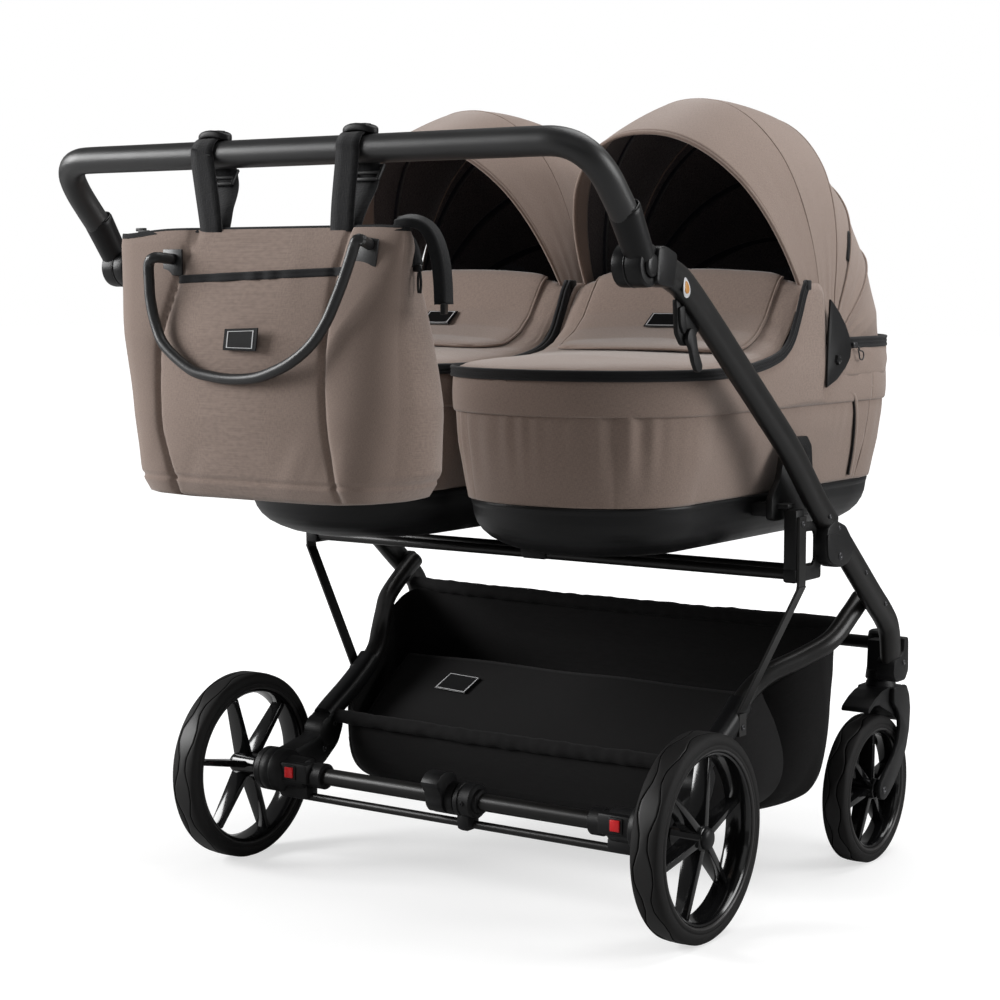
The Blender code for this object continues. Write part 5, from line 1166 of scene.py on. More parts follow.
bar_line = list(BAR_HALF) + [(-x, y, z) for x, y, z in reversed(BAR_HALF[:-1])]
bar_bm = swept(fine_path([at(*p) for p in bar_line], 0.006), round_bar(BAR_R, 28), (0, 0.75, 0.65))
dress("handle_grip", bar_bm, leatherette, "handle", "handlebar")

for side, hand in HANDS:
    outward = (side, 0, 0)
    yoke_bm = bmesh.new()
    low = at(side * HANDLE_X, PIVOT[0] - 0.003, PIVOT[1] + 0.007)
    high = at(side * HANDLE_X, -0.2535, 0.9575)
    along = high - low
    reach = along.length
    lathe(yoke_bm, ((0.0, 0.0), (0.015, 0.0005), (0.018, 0.004), (0.0188, 0.015), (0.0195, 0.04),
                    (0.0204, reach - 0.006), (0.0204, reach - 0.001), (0.0198, reach), (0.0182, reach),
                    (0.0181, reach - 0.01), (0.0, reach - 0.01)), low, along, 44)
    lathe(yoke_bm, ((0.0, 0.0), (0.0245, 0.0), (0.0265, 0.0012), (0.027, 0.0035), (0.027, 0.0155),
                    (0.0262, 0.018), (0.024, 0.0188), (0.0, 0.0188)),
          at(side * (HUB_IN - 0.0193), *PIVOT), outward, 52)
    dress(f"handle_yoke_{hand}_body", yoke_bm, satin_black, "handle", f"handle_yoke_{hand}", smooth=False)

    ring_bm = bmesh.new()
    lathe(ring_bm, ((0.0186, 0.0), (0.0196, 0.0004), (0.0198, 0.0015), (0.0192, 0.0022), (0.0184, 0.0022)),
          high + along.normalized() * 0.0002, along, 44, closed=True)
    lathe(ring_bm, ((0.0262, -0.0018), (0.0274, -0.0012), (0.0274, 0.0004), (0.0262, 0.001)),
          at(side * (HUB_IN - 0.0006), *PIVOT), outward, 52, closed=True)
    dress(f"handle_ring_{hand}", ring_bm, smooth_black, "handle")

    hub_bm = bmesh.new()
    lathe(hub_bm, ((0.0, 0.0), (0.025, 0.0), (0.0268, 0.001), (0.027, 0.003), (0.027, 0.016), (0.0262, 0.02),
                   (0.024, 0.0222), (0.0205, 0.0228), (0.0165, 0.0226), (0.015, 0.0218), (0.0149, 0.01),
                   (0.0, 0.01)), at(side * HUB_IN, *PIVOT), outward, 52)
    side_plate(hub_bm, HUB_ARM, side * (HUB_IN + 0.002), side * 0.4518, corner=0.006, edge=0.003)
    dress(f"handle_hub_{hand}_body", hub_bm, satin_black, "chassis", f"handle_hub_{hand}", smooth=False)

    button_bm = bmesh.new()
    lathe(button_bm, ((0.0, 0.0), (0.0143, 0.0), (0.0143, 0.006), (0.0136, 0.0076), (0.011, 0.0086),
                      (0.006, 0.009), (0.0, 0.0091)), at(side * (HUB_OUT - 0.0048), *PIVOT), outward, 40)
    dress(f"handle_button_{hand}_cap", button_bm, smooth_black, f"handle_button_{hand}", f"handle_button_{hand}")


# Side frames: oval aluminium tube, coated satin black. The upper tube runs from the handle's hub to the
# fold hinge and the lower one from there to the caster. Small screws hold the mouldings to them.

TUBE_LINES = {"upper": ((-0.1825, 0.89), (-0.15, 0.88), (-0.1181, 0.8651), (-0.05, 0.816), (0.0168, 0.7647),
                        (0.095, 0.7045), (0.1724, 0.643), (0.2453, 0.5725), (0.29, 0.5335)),
              "lower": ((0.318, 0.5115), (0.3479, 0.4872), (0.4319, 0.4169), (0.4744, 0.3825), (0.496, 0.356),
                        (0.505, 0.308))}
TUBE_X = 0.4375
TUBE_HALF_W, TUBE_HALF_H = 0.0135, 0.02
TUBE_FACE = TUBE_X + TUBE_HALF_W
HINGE_SHAPE = ((0.262, 0.53), (0.285, 0.541), (0.318, 0.53), (0.34, 0.508), (0.344, 0.492), (0.33, 0.476),
               (0.3085, 0.4715), (0.2858, 0.4735), (0.268, 0.48), (0.2585, 0.49), (0.256, 0.508))
HINGE_COVER = ((0.2574, 0.5209), (0.2684, 0.5228), (0.3069, 0.5163), (0.3266, 0.5064), (0.3353, 0.4925),
               (0.3211, 0.4779), (0.3035, 0.4743), (0.2858, 0.4759), (0.2697, 0.4812), (0.26, 0.49),
               (0.2579, 0.5059))
TUBE_SCREWS = ((0.2676, 0.5464), (0.2968, 0.528), (0.3864, 0.4553), (0.4533, 0.4021))
CATCH = ((-0.1326, 0.8505), (-0.1287, 0.8075), (-0.1151, 0.7919), (-0.0955, 0.7919), (-0.074, 0.8134),
         (-0.09, 0.842))
CATCH_RIB = ((-0.13, 0.84), (-0.127, 0.818), (-0.118, 0.806), (-0.112, 0.812), (-0.118, 0.842))
CATCH_PIN = (-0.1053, 0.8026)
TRIGGER = ((-0.01, 0.003), (-0.004, 0.011), (0.005, 0.011), (0.011, 0.002), (0.016, -0.016), (0.028, -0.037),
           (0.024, -0.044), (0.014, -0.044), (0.006, -0.033), (-0.002, -0.013), (-0.011, -0.005))
DROP_AT = (-0.1353, 0.8652)

coated_tube = moulded("satin_black_coating", (0.008, 0.0076, 0.0074), 0.34, 2400.0,
                      0.06, 0.34)
reflector_white = moulded("reflector_white", (0.62, 0.62, 0.63), 0.18, 260.0, 0.25)
reflector_amber = moulded("reflector_amber", (0.52, 0.25, 0.07), 0.16, 260.0, 0.25)


def oval(half_w, half_h, count=32, power=2.3):
    """The section of a side tube, as (out, up) places."""
    return [(half_w * math.copysign(abs(c) ** (2 / power), c), half_h * math.copysign(abs(s) ** (2 / power), s))
            for c, s in round_bar(1.0, count)]


for side, hand in HANDS:
    outward = (side, 0, 0)
    for name, line in TUBE_LINES.items():
        route = fine_path([at(side * TUBE_X, y, z) for y, z in line], 0.006)
        tube_bm = swept(route, oval(TUBE_HALF_W, TUBE_HALF_H), outward)
        dress(f"frame_{name}_{hand}", tube_bm, coated_tube, "chassis", f"{name}_tube_{hand}")

    hinge_bm = bmesh.new()
    side_plate(hinge_bm, HINGE_SHAPE, side * 0.4305, side * 0.4518, corner=0.005, edge=0.0028)
    side_plate(hinge_bm, HINGE_COVER, side * 0.45, side * 0.4536, corner=0.005, edge=0.0012)
    dress(f"frame_hinge_{hand}", hinge_bm, hard_black, "chassis", f"fold_hinge_{hand}", smooth=False)

    screws_bm = bmesh.new()
    lathe(screws_bm, ((0.0, 0.0006), (0.003, 0.0006), (0.0032, 0.0012), (0.005, 0.0012), (0.0056, 0.0004),
                      (0.006, -0.0006), (0.0, -0.0006)), at(side * 0.4538, 0.2965, 0.4884), outward, 20)
    for y, z in TUBE_SCREWS:
        screw(screws_bm, at(side * (TUBE_FACE + 0.0004), y, z), outward, 0.0036)
    screw(screws_bm, at(side * 0.441, *CATCH_PIN), outward, 0.0034)
    dress(f"frame_screws_{hand}", screws_bm, screw_steel, "chassis")

    catch_bm = bmesh.new()
    side_plate(catch_bm, CATCH, side * 0.429, side * 0.436, corner=0.004, edge=0.0015)
    side_plate(catch_bm, CATCH_RIB, side * 0.435, side * 0.4395, corner=0.003, edge=0.001)
    dress(f"frame_catch_{hand}", catch_bm, hard_black, "chassis", smooth=False)

    trigger_bm = bmesh.new()
    outline = [(CATCH_PIN[0] + y, CATCH_PIN[1] + z) for y, z in TRIGGER]
    side_plate(trigger_bm, outline, side * 0.4366, side * 0.443, corner=0.0035, edge=0.0014)
    dress(f"fold_trigger_{hand}", trigger_bm, hard_black, f"fold_lever_{hand}", f"fold_lever_{hand}", smooth=False)

    drop_bm = bmesh.new()
    for size, lift, material in ((1.0, 0.0005, 0), (0.62, 0.0014, 1)):
        outline = []
        for c, s in round_bar(1.0, 28):
            dy, dz = 0.0078 * size * c * (1 - 0.38 * s), 0.0132 * size * s - 0.001 * size
            outline.append((DROP_AT[0] + dy * 0.93 - dz * 0.3, DROP_AT[1] + dy * 0.37 + dz * 0.93))
        before = set(drop_bm.faces)
        side_plate(drop_bm, outline, side * (TUBE_FACE - 0.0006), side * (TUBE_FACE + lift), edge=0.0003)
        for face in set(drop_bm.faces) - before:
            face.material_index = material
    dress(f"frame_reflector_{hand}", drop_bm, (reflector_white, reflector_amber), "chassis", smooth=False)


# Cot carrier: two round bars run across between moulded posts, with a third post in the middle. The cots
# drop onto the posts, and a flat steel strut goes down from each outer post to the rear leg.

POST_IN, POST_OUT = 0.4145, 0.4345
POST_X, POST_W = (POST_IN + POST_OUT) / 2, POST_OUT - POST_IN
BAR_REACH, CARRIER_Z = 0.414, 0.4695
POST_LOOP = ((0.2035, 0.543), (0.256, 0.54), (0.27, 0.525), (0.276, 0.505), (0.276, 0.478), (0.272, 0.466),
             (0.262, 0.46), (0.2035, 0.46), (0.2035, 0.48), (0.25, 0.48), (0.2575, 0.487), (0.2575, 0.52),
             (0.254, 0.527), (0.2035, 0.529))
STRUT_LINE = ((0.4366, 0.2112, 0.5505), (0.4366, 0.2112, 0.51), (0.4366, 0.2112, 0.46), (0.4354, 0.2111, 0.45),
              (0.431, 0.211, 0.44), (0.352, 0.2092, 0.28), (0.3485, 0.2091, 0.27), (0.3479, 0.209, 0.256),
              (0.3479, 0.209, 0.235))
STRUT_SECTION = ((-0.0017, -0.0104), (0.001, -0.0104), (0.0017, -0.0098), (0.0017, 0.0098), (0.001, 0.0104),
                 (-0.0017, 0.0104))

bars_bm = bmesh.new()
for y in (0.209, 0.265):
    rod(bars_bm, 0.0075, -BAR_REACH, BAR_REACH, at(0, y, CARRIER_Z), (1, 0, 0), 24)
dress("carrier_bars", bars_bm, coated_tube, "chassis", "cot_bars", smooth=False)

middle_bm = bmesh.new()
block(middle_bm, at(0, 0.237, 0.4715), (0.044, 0.078, 0.019), 0.004)
block(middle_bm, at(0, 0.2108, 0.515), (0.048, 0.023, 0.089), 0.003)
block(middle_bm, at(0, 0.2108, 0.5555), (0.03, 0.015, 0.008), 0.001)
dress("carrier_middle_post", middle_bm, hard_black, "chassis", smooth=False)

for side, hand in HANDS:
    post_bm = bmesh.new()
    block(post_bm, at(side * POST_X, 0.2105, 0.51), (POST_W, 0.024, 0.1), 0.0025)
    block(post_bm, at(side * POST_X, 0.237, 0.469), (POST_W + 0.001, 0.079, 0.021), 0.004)
    side_plate(post_bm, POST_LOOP, side * (POST_OUT - 0.005), side * POST_OUT, corner=0.003, edge=0.0012)
    dress(f"carrier_post_{hand}", post_bm, hard_black, "chassis", f"cot_post_{hand}", smooth=False)

    route = fine_path([at(side * x, y, z) for x, y, z in STRUT_LINE], 0.004)
    dress(f"carrier_strut_{hand}", swept(route, STRUT_SECTION, (side, 0, 0)), coated_tube, "chassis",
          f"strut_{hand}", smooth=False)
    bolt_bm = bmesh.new()
    for x, y, z in ((0.4386, 0.2112, 0.5404), (0.3499, 0.209, 0.247)):
        screw(bolt_bm, at(side * x, y, z), (side, 0, 0), 0.0046)
    dress(f"carrier_bolts_{hand}", bolt_bm, screw_steel, "chassis")


# Rear legs: round coated tubes that come down and in from the side tubes to the rear axle's housings. The
# upper end is pressed flat, rounded and riveted to the inner side of the lower tube.

LEG_R = 0.0145
LEG_LINE = ((0.4112, 0.453, 0.407), (0.4102, 0.42, 0.387), (0.404, 0.37, 0.355), (0.38, 0.326, 0.333),
            (0.351, 0.279, 0.313), (0.335, 0.247, 0.288), (0.333, 0.208, 0.258), (0.332, 0.175, 0.238),
            (0.33, 0.13, 0.214), (0.33, 0.103, 0.178))
SLEEVE_LINE = ((0.3335, 0.23, 0.276), (0.333, 0.208, 0.259), (0.332, 0.175, 0.238), (0.33, 0.13, 0.214),
               (0.329, 0.11, 0.202))
for side, hand in HANDS:
    leg = fine_path([at(side * x, y, z) for x, y, z in LEG_LINE], 0.005)
    dress(f"rear_leg_{hand}_tube", swept(leg, round_bar(LEG_R, 20), (side, 0, 0)), coated_tube, "chassis",
          f"rear_leg_{hand}")
    sleeve = fine_path([at(side * x, y, z) for x, y, z in SLEEVE_LINE], 0.005)
    sleeve_bm = swept(sleeve, oval(0.0165, 0.0172, 28, 2.6), (side, 0, 0))
    for y, z in ((0.172, 0.237), (0.133, 0.216)):
        screw(sleeve_bm, at(side * 0.316, y, z), (-side, 0, 0), 0.0036)
    dress(f"rear_leg_{hand}_sleeve", sleeve_bm, satin_black, "chassis", smooth=False)
    rivet_bm = bmesh.new()
    lathe(rivet_bm, ((0.0, 0.0), (0.013, 0.0), (0.0142, 0.001), (0.0142, 0.01), (0.013, 0.0112),
                     (0.0, 0.0112)), at(side * 0.4128, 0.45, 0.406), (side, 0, 0), 30)
    lathe(rivet_bm, ((0.0, 0.001), (0.0045, 0.0014), (0.0062, 0.0006), (0.0066, -0.0004), (0.0, -0.0004)),
          at(side * 0.4124, 0.45, 0.406), (-side, 0, 0), 24)
    dress(f"rear_leg_{hand}_rivet", rivet_bm, coated_tube, "chassis", smooth=False)


# Rear axle: a coated tube between two moulded housings that hold the legs and the wheel stubs, with a red
# release button in each. A thin brake rod runs below it, and a collar and a foot pedal sit at its middle.

AXLE_Z, AXLE_REACH, AXLE_R = 0.14, 0.2617, 0.0124
ROD_Z, ROD_REACH, ROD_R = 0.106, 0.2797, 0.006
ARM = ((0.0, 0.119), (0.09, 0.133), (0.126, 0.16), (0.14, 0.19), (0.124, 0.213), (0.103, 0.21),
       (0.079, 0.179), (0.0, 0.164))
HOUSING = ((0.0128, -0.002), (0.018, -0.002), (0.0192, -0.0005), (0.0192, 0.017), (0.0178, 0.0185),
           (0.0178, 0.029), (0.0225, 0.031), (0.0238, 0.0335), (0.024, 0.064), (0.025, 0.066), (0.031, 0.07),
           (0.0325, 0.073), (0.0328, 0.085), (0.0322, 0.086), (0.0322, 0.088), (0.0328, 0.089), (0.0328, 0.101),
           (0.0322, 0.102), (0.0322, 0.104), (0.0328, 0.105), (0.0324, 0.1135), (0.03, 0.1165), (0.0, 0.1165))
COLLAR = ((0.0126, 0.0), (0.0225, 0.0), (0.025, 0.002), (0.0256, 0.005), (0.0256, 0.009), (0.024, 0.01),
          (0.024, 0.0125), (0.0256, 0.0135), (0.0252, 0.028), (0.0235, 0.03), (0.018, 0.031),
          (0.0172, 0.037), (0.0126, 0.038))
PEDAL = ((0.014, 0.144), (0.012, 0.162), (0.003, 0.175), (-0.012, 0.18), (-0.028, 0.178), (-0.038, 0.17),
         (-0.04, 0.162), (-0.034, 0.154), (-0.029, 0.144), (-0.029, 0.132), (-0.02, 0.121), (0.006, 0.12))
glossy_red = moulded("smooth_red_plastic", (0.62, 0.006, 0.01), 0.32, 500.0, 0.03)

axle_bm = bmesh.new()
rod(axle_bm, AXLE_R, -AXLE_REACH, AXLE_REACH, at(0, 0, AXLE_Z), (1, 0, 0), 36)
dress("axle_tube", axle_bm, coated_tube, "chassis", "rear_axle", smooth=False)
rod_bm = bmesh.new()
rod(rod_bm, ROD_R, -ROD_REACH, ROD_REACH, at(0, 0, ROD_Z), (1, 0, 0), 20)
dress("axle_brake_rod", rod_bm, coated_tube, "chassis", "brake_rod", smooth=False)

for side, hand in HANDS:
    housing_bm = bmesh.new()
    lathe(housing_bm, HOUSING, at(side * 0.236, 0, AXLE_Z), (side, 0, 0), 48)
    block(housing_bm, at(side * 0.29, 0.001, 0.114), (0.056, 0.028, 0.024), 0.006)
    block(housing_bm, at(side * 0.285, -0.012, 0.144), (0.062, 0.025, 0.03), 0.0045)
    block(housing_bm, at(side * 0.285, -0.0235, 0.1445), (0.022, 0.006, 0.022), 0.0012)
    lathe(housing_bm, ((0.0, 0.0), (0.02, 0.0), (0.0225, 0.0012), (0.0232, 0.004), (0.0232, 0.033),
                       (0.0, 0.033)), at(side * 0.3115, 0.104, 0.183), (side, 0, 0), 40)
    side_plate(housing_bm, ARM, side * 0.3125, side * 0.3475, corner=0.008, edge=0.004)
    rod(housing_bm, 0.006, 0.0, 0.056, at(side * 0.352, 0, AXLE_Z), (side, 0, 0), 20)
    dress(f"axle_housing_{hand}_body", housing_bm, hard_black, "chassis", f"axle_housing_{hand}", smooth=False)

    bolts_bm = bmesh.new()
    for x, y, z, facing in ((0.3122, 0.115, 0.193, -1), (0.3122, 0.09, 0.158, -1), (0.3478, 0.115, 0.193, 1)):
        screw(bolts_bm, at(side * x, y, z), (side * facing, 0, 0), 0.0048)
    dress(f"axle_bolts_{hand}", bolts_bm, screw_steel, "chassis")

    red_bm = bmesh.new()
    block(red_bm, at(side * 0.285, -0.0235, 0.145), (0.015, 0.011, 0.0155), 0.0008)
    dress(f"release_button_{hand}_cap", red_bm, glossy_red, f"release_button_{hand}", f"release_button_{hand}",
          smooth=False)

collar_bm = bmesh.new()
lathe(collar_bm, COLLAR, at(0.0115, 0, AXLE_Z), (1, 0, 0), 44, closed=True)
block(collar_bm, at(0.024, -0.001, 0.115), (0.024, 0.03, 0.036), 0.008)
screw(collar_bm, at(0.03, -0.0262, 0.14), (0, -1, 0), 0.0034)
dress("brake_collar_body", collar_bm, hard_black, "chassis", "brake_collar", smooth=False)

pedal_bm = bmesh.new()
lathe(pedal_bm, ((0.0126, 0.0), (0.0205, 0.0), (0.0228, 0.0018), (0.0238, 0.006), (0.024, 0.04),
                 (0.023, 0.044), (0.0126, 0.0446)), at(-0.034, 0, AXLE_Z), (1, 0, 0), 44, closed=True)
side_plate(pedal_bm, PEDAL, -0.031, -0.002, corner=0.009, edge=0.006)
block(pedal_bm, at(-0.012, 0.0, 0.1275), (0.038, 0.03, 0.018), 0.006)
dress("brake_pedal_body", pedal_bm, hard_black, "brake_pedal", "brake_pedal", smooth=False)


# Casters: a moulded column at each front corner, joined by a cross tube, takes the stem of a fork. The fork
# has a crown, a short mudguard lip over the wheel and two curved blades down to the wheel's axle.

CASTER_X, CASTER_Y = 0.398, 0.555
CROSS_Z, CROSS_REACH, CROSS_R = 0.325, 0.3857, 0.0098
FRONT_R, FRONT_W, FRONT_HUB_Y = 0.111, 0.04, 0.507
GUARD_HALF_W = 0.0225
BLADE = ((0.496, 0.099), (0.492, 0.111), (0.496, 0.122), (0.512, 0.135), (0.539, 0.156), (0.555, 0.177),
         (0.562, 0.2), (0.559, 0.216), (0.549, 0.229), (0.538, 0.238), (0.538, 0.261), (0.582, 0.261),
         (0.593, 0.245), (0.598, 0.222), (0.595, 0.19), (0.585, 0.162), (0.569, 0.138), (0.545, 0.115),
         (0.525, 0.101), (0.51, 0.095))
GUARD = ((0.586, 0.25), (0.576, 0.2615), (0.558, 0.2615), (0.535, 0.262), (0.512, 0.2595), (0.49, 0.252),
         (0.475, 0.244), (0.468, 0.24), (0.466, 0.2345), (0.47, 0.232), (0.474, 0.236), (0.486, 0.241),
         (0.504, 0.24), (0.52, 0.232), (0.54, 0.224), (0.558, 0.215), (0.574, 0.205), (0.586, 0.21), (0.589, 0.23))
TUBE_SOCKET = ((0.484, 0.29), (0.4845, 0.308), (0.493, 0.315), (0.508, 0.316), (0.518, 0.323), (0.52, 0.342),
               (0.53, 0.344), (0.534, 0.338), (0.535, 0.292), (0.524, 0.279), (0.494, 0.279))

cross_bm = bmesh.new()
rod(cross_bm, CROSS_R, -CROSS_REACH, CROSS_REACH, at(0, CASTER_Y, CROSS_Z), (1, 0, 0), 32)
dress("caster_cross_tube", cross_bm, coated_tube, "chassis", "front_cross_tube", smooth=False)

for side, hand in HANDS:
    caster_x = side * CASTER_X
    column_bm = bmesh.new()
    lathe(column_bm, ((0.0, 0.0), (0.0225, 0.0), (0.0235, 0.002), (0.0215, 0.018), (0.0208, 0.04),
                      (0.0205, 0.065), (0.0195, 0.0715), (0.0165, 0.074), (0.0, 0.0745)),
          at(caster_x, CASTER_Y, 0.2715), (0, 0, 1), 44)
    side_plate(column_bm, TUBE_SOCKET, side * (TUBE_X - TUBE_HALF_W - 0.002), side * (TUBE_FACE + 0.0012),
               corner=0.004, edge=0.0024)
    block(column_bm, at(side * 0.412, 0.534, 0.313), (0.036, 0.044, 0.048), 0.004)
    dress(f"caster_column_{hand}_body", column_bm, hard_black, "chassis", f"caster_column_{hand}", smooth=False)

    screw_bm = bmesh.new()
    screw(screw_bm, at(side * 0.4526, 0.518, 0.306), (side, 0, 0), 0.0042)
    dress(f"caster_screws_{hand}", screw_bm, screw_steel, "chassis")

    fork_bm = bmesh.new()
    ends_bm = bmesh.new()
    lathe(fork_bm, ((0.0, 0.0), (0.0225, 0.0), (0.0255, 0.003), (0.0258, 0.012), (0.0245, 0.024),
                    (0.0222, 0.034), (0.02, 0.0382), (0.0, 0.0382)), at(caster_x, CASTER_Y, 0.2325), (0, 0, 1), 44)
    for edge in (-1, 1):
        inner = caster_x + edge * (FRONT_W / 2 + 0.0032)
        side_plate(fork_bm, BLADE, inner, inner + edge * 0.0078, corner=0.004, edge=0.0024)
        screw(ends_bm, at(caster_x + edge * 0.0312, FRONT_HUB_Y, FRONT_R), (edge, 0, 0), 0.0058)
    side_plate(fork_bm, GUARD, caster_x - GUARD_HALF_W, caster_x + GUARD_HALF_W, corner=0.002, edge=0.001)
    block(fork_bm, at(caster_x, 0.562, 0.249), (0.06, 0.043, 0.024), 0.007)
    rod(fork_bm, 0.006, -0.03, 0.03, at(caster_x, FRONT_HUB_Y, FRONT_R), (1, 0, 0), 20)
    dress(f"fork_{hand}", fork_bm, hard_black, f"front_fork_{hand}", f"front_fork_{hand}", smooth=False)
    dress(f"fork_axle_ends_{hand}", ends_bm, screw_steel, f"front_fork_{hand}")


# Wheels: a foam-filled tyre with two wavy grooves round its tread, on a moulded glossy rim. The rim has a
# deep barrel, a satin lip, six tapered box spokes and a hub with a domed cap.

tyre_foam = moulded("black_tyre_foam", (0.0062, 0.0058, 0.0058), 0.68, 1500.0, 0.5, 0.26)
tyre_tread = moulded("smooth_tyre_tread", (0.008, 0.0076, 0.0076), 0.48, 900.0, 0.1, 0.34)
# Painted shade: the groove faces get a near-black, barely shiny material that stands for the shade in the grooves;
# the rubber there is the same as the tread's.
tyre_groove_painted_shade = moulded("tyre_groove_painted_shade", (0.001, 0.001, 0.001), 0.9, 900.0, 0.05, 0.05)
glossy_rim = moulded("glossy_black_rim", (0.0045, 0.0045, 0.0048), 0.13, 300.0, 0.02)
rim_lip = moulded("satin_rim_lip", (0.02, 0.019, 0.019), 0.34, 900.0, 0.05)
WAVES = 10
TYRE_STEPS, LIP_STEPS = 300, 96
SPOKES, SPOKE_OUTER_HALF, SPOKE_INNER_HALF = 6, 0.0082, 0.0105
REAR_R, REAR_W, REAR_WHEEL_X = 0.14, 0.045, 0.396


def tyre_bm(centre, radius, width, lip):
    """The tyre's skin: square-shouldered, with a step beside the rim and two wavy grooves whose faces carry painted
    shade.
    """
    half = width / 2
    side_run = ((0.86, lip - 0.0045), (0.985, lip - 0.002), (1.0, lip + 0.001), (0.99, lip + 0.003),
                (0.955, lip + 0.0036), (0.965, lip + 0.0046), (1.0, lip + 0.006), (0.995, radius - 0.01),
                (0.96, radius - 0.0058), (0.9, radius - 0.003), (0.8, radius - 0.001))

    def section(wave):
        """The places (across, radius) at one turn; the grooves stand at plus and minus the line."""
        line = half * (0.46 + 0.17 * wave)
        right = [(half * x, r) for x, r in side_run]
        right += [(line + 0.0022, radius - 0.0001), (line + 0.0008, radius - 0.0003), (line, radius - 0.0021),
                  (line - 0.0008, radius - 0.0001), (line - 0.003, radius), (line * 0.35, radius + 0.0002)]
        return [(-x, r) for x, r in right] + [(x, r) for x, r in reversed(right)]

    bm = bmesh.new()
    rings = []
    for k in range(TYRE_STEPS):
        turn = math.tau * k / TYRE_STEPS
        wave = math.asin(0.985 * math.sin(WAVES * turn)) / 1.4
        wave = max(-0.8, min(0.8, 1.25 * wave)) / 0.8
        rings.append([bm.verts.new(centre + Vector((x, r * math.cos(turn), r * math.sin(turn))))
                      for x, r in section(wave)])
    count = len(rings[0])
    for ring, following in zip(rings, rings[1:] + rings[:1]):
        for i in range(count):
            j = (i + 1) % count
            face = bm.faces.new((ring[i], ring[j], following[j], following[i]))
            face.material_index = 1 if 13 <= i < count - 14 else 0
            # The groove faces take the third material, the painted shade in the grooves.
            if i in (12, 13, count - 15, count - 14):
                face.material_index = 2
    bmesh.ops.recalc_face_normals(bm, faces=bm.faces)
    return bm


def rim_bm(centre, width, lip, hub, offset, side):
    """The rim's barrel with its spokes, which stand further out at the hub than at the barrel."""
    bm = bmesh.new()
    half = width / 2
    edge_run = ((lip - 0.004, 0.8), (lip - 0.006, 0.86), (lip - 0.0085, 0.8), (lip - 0.0105, 0.6))
    barrel = [(r, -half * share) for r, share in edge_run] + [(lip - 0.0122, 0.0)]
    barrel += [(r, half * share) for r, share in reversed(edge_run)] + [(lip - 0.0045, 0.0)]
    lathe(bm, barrel, centre, (1, 0, 0), LIP_STEPS, closed=True)
    for i in range(SPOKES):
        turn = math.tau * (i + offset) / SPOKES
        made = bmesh.ops.create_cube(bm, size=1.0)["verts"]
        for vert in made:
            outer = vert.co.z > 0
            face_x = (0.003 if outer else 0.0125) if vert.co.x * side > 0 else -0.0165
            wide = SPOKE_OUTER_HALF if outer else SPOKE_INNER_HALF
            vert.co = (side * face_x * half / 0.0225, vert.co.y * wide, lip - 0.0105 if outer else hub * 0.72)
        edges = list({e for v in made for e in v.link_edges})
        rounded = bmesh.ops.bevel(bm, geom=edges, offset=0.001, affect="EDGES", segments=2, profile=0.5, material=-1)
        verts = list({v for f in rounded["faces"] for v in f.verts} | {v for v in made if v.is_valid})
        bmesh.ops.rotate(bm, cent=(0, 0, 0), matrix=Matrix.Rotation(turn - math.pi / 2, 3, "X"), verts=verts)
        bmesh.ops.translate(bm, vec=centre, verts=verts)
    return bm


def lips_bm(centre, width, lip):
    """The satin ring that shows between the tyre and the glossy barrel, on both faces."""
    bm = bmesh.new()
    for half in (-width / 2, width / 2):
        lathe(bm, ((lip - 0.0042, half * 0.76), (lip + 0.0012, half * 0.86), (lip + 0.0006, half * 0.95),
                   (lip - 0.0016, half * 0.99), (lip - 0.004, half * 0.95), (lip - 0.0048, half * 0.84)),
              centre, (1, 0, 0), LIP_STEPS, closed=True)
    return bm


for side, hand in HANDS:
    rear = at(side * REAR_WHEEL_X, 0, AXLE_Z)
    front = at(side * CASTER_X, FRONT_HUB_Y, FRONT_R)
    rear_hub = ((0.0068, -0.033), (0.01656, -0.033), (0.018, -0.031), (0.018, 0.0105), (0.0162, 0.013),
                (0.0144, 0.014), (0.0068, 0.014))
    front_hub = ((0.0068, -0.0195), (0.01426, -0.0195), (0.0155, -0.018), (0.0155, 0.018), (0.01426, 0.0195),
                 (0.0068, 0.0195))
    for which, centre, radius, width, lip, hub, hub_r, offset in (
            ("rear", rear, REAR_R, REAR_W, 0.1207, rear_hub, 0.018, 0.25 if side > 0 else 0.81),
            ("front", front, FRONT_R, FRONT_W, 0.0937, front_hub, 0.0155, 0.23)):
        body = f"{which}_wheel_{hand}"
        dress(f"{which}_tyre_{hand}_skin", tyre_bm(centre, radius, width, lip),
              (tyre_foam, tyre_tread, tyre_groove_painted_shade), body, f"{which}_tyre_{hand}")
        bm = rim_bm(centre, width, lip, hub_r, offset, side)
        lathe(bm, hub, centre, (side, 0, 0), 40, closed=True)
        dress(f"{which}_rim_{hand}_moulding", bm, glossy_rim, body, f"{which}_rim_{hand}", smooth=False)
        dress(f"{which}_lip_{hand}", lips_bm(centre, width, lip), rim_lip, body)
    cap_bm = bmesh.new()
    lathe(cap_bm, ((0.0, 0.0), (0.0144, 0.0), (0.015, 0.0012), (0.0147, 0.004), (0.0129, 0.0066),
                   (0.00825, 0.0082), (0.0, 0.0088)), rear + Vector((side * 0.013, 0, 0)), (side, 0, 0), 40)
    dress(f"rear_cap_{hand}", cap_bm, satin_black, f"rear_wheel_{hand}")


# Basket: a sling of matt black cloth hung from the rear legs, with a thick crinkled hem rolled over a bar at
# its high front edge and its low rear one. A folded floor lies inside, and a small framed label is sewn on.

REAR_HEM, FRONT_HEM = (0.118, 0.203), (0.43, 0.369)
SLING_LOW = 0.0965
BOTTOM_ZONE = SLING_LOW + 0.02
SLING_WALL, FLOOR_WALL = 0.0035, 0.003
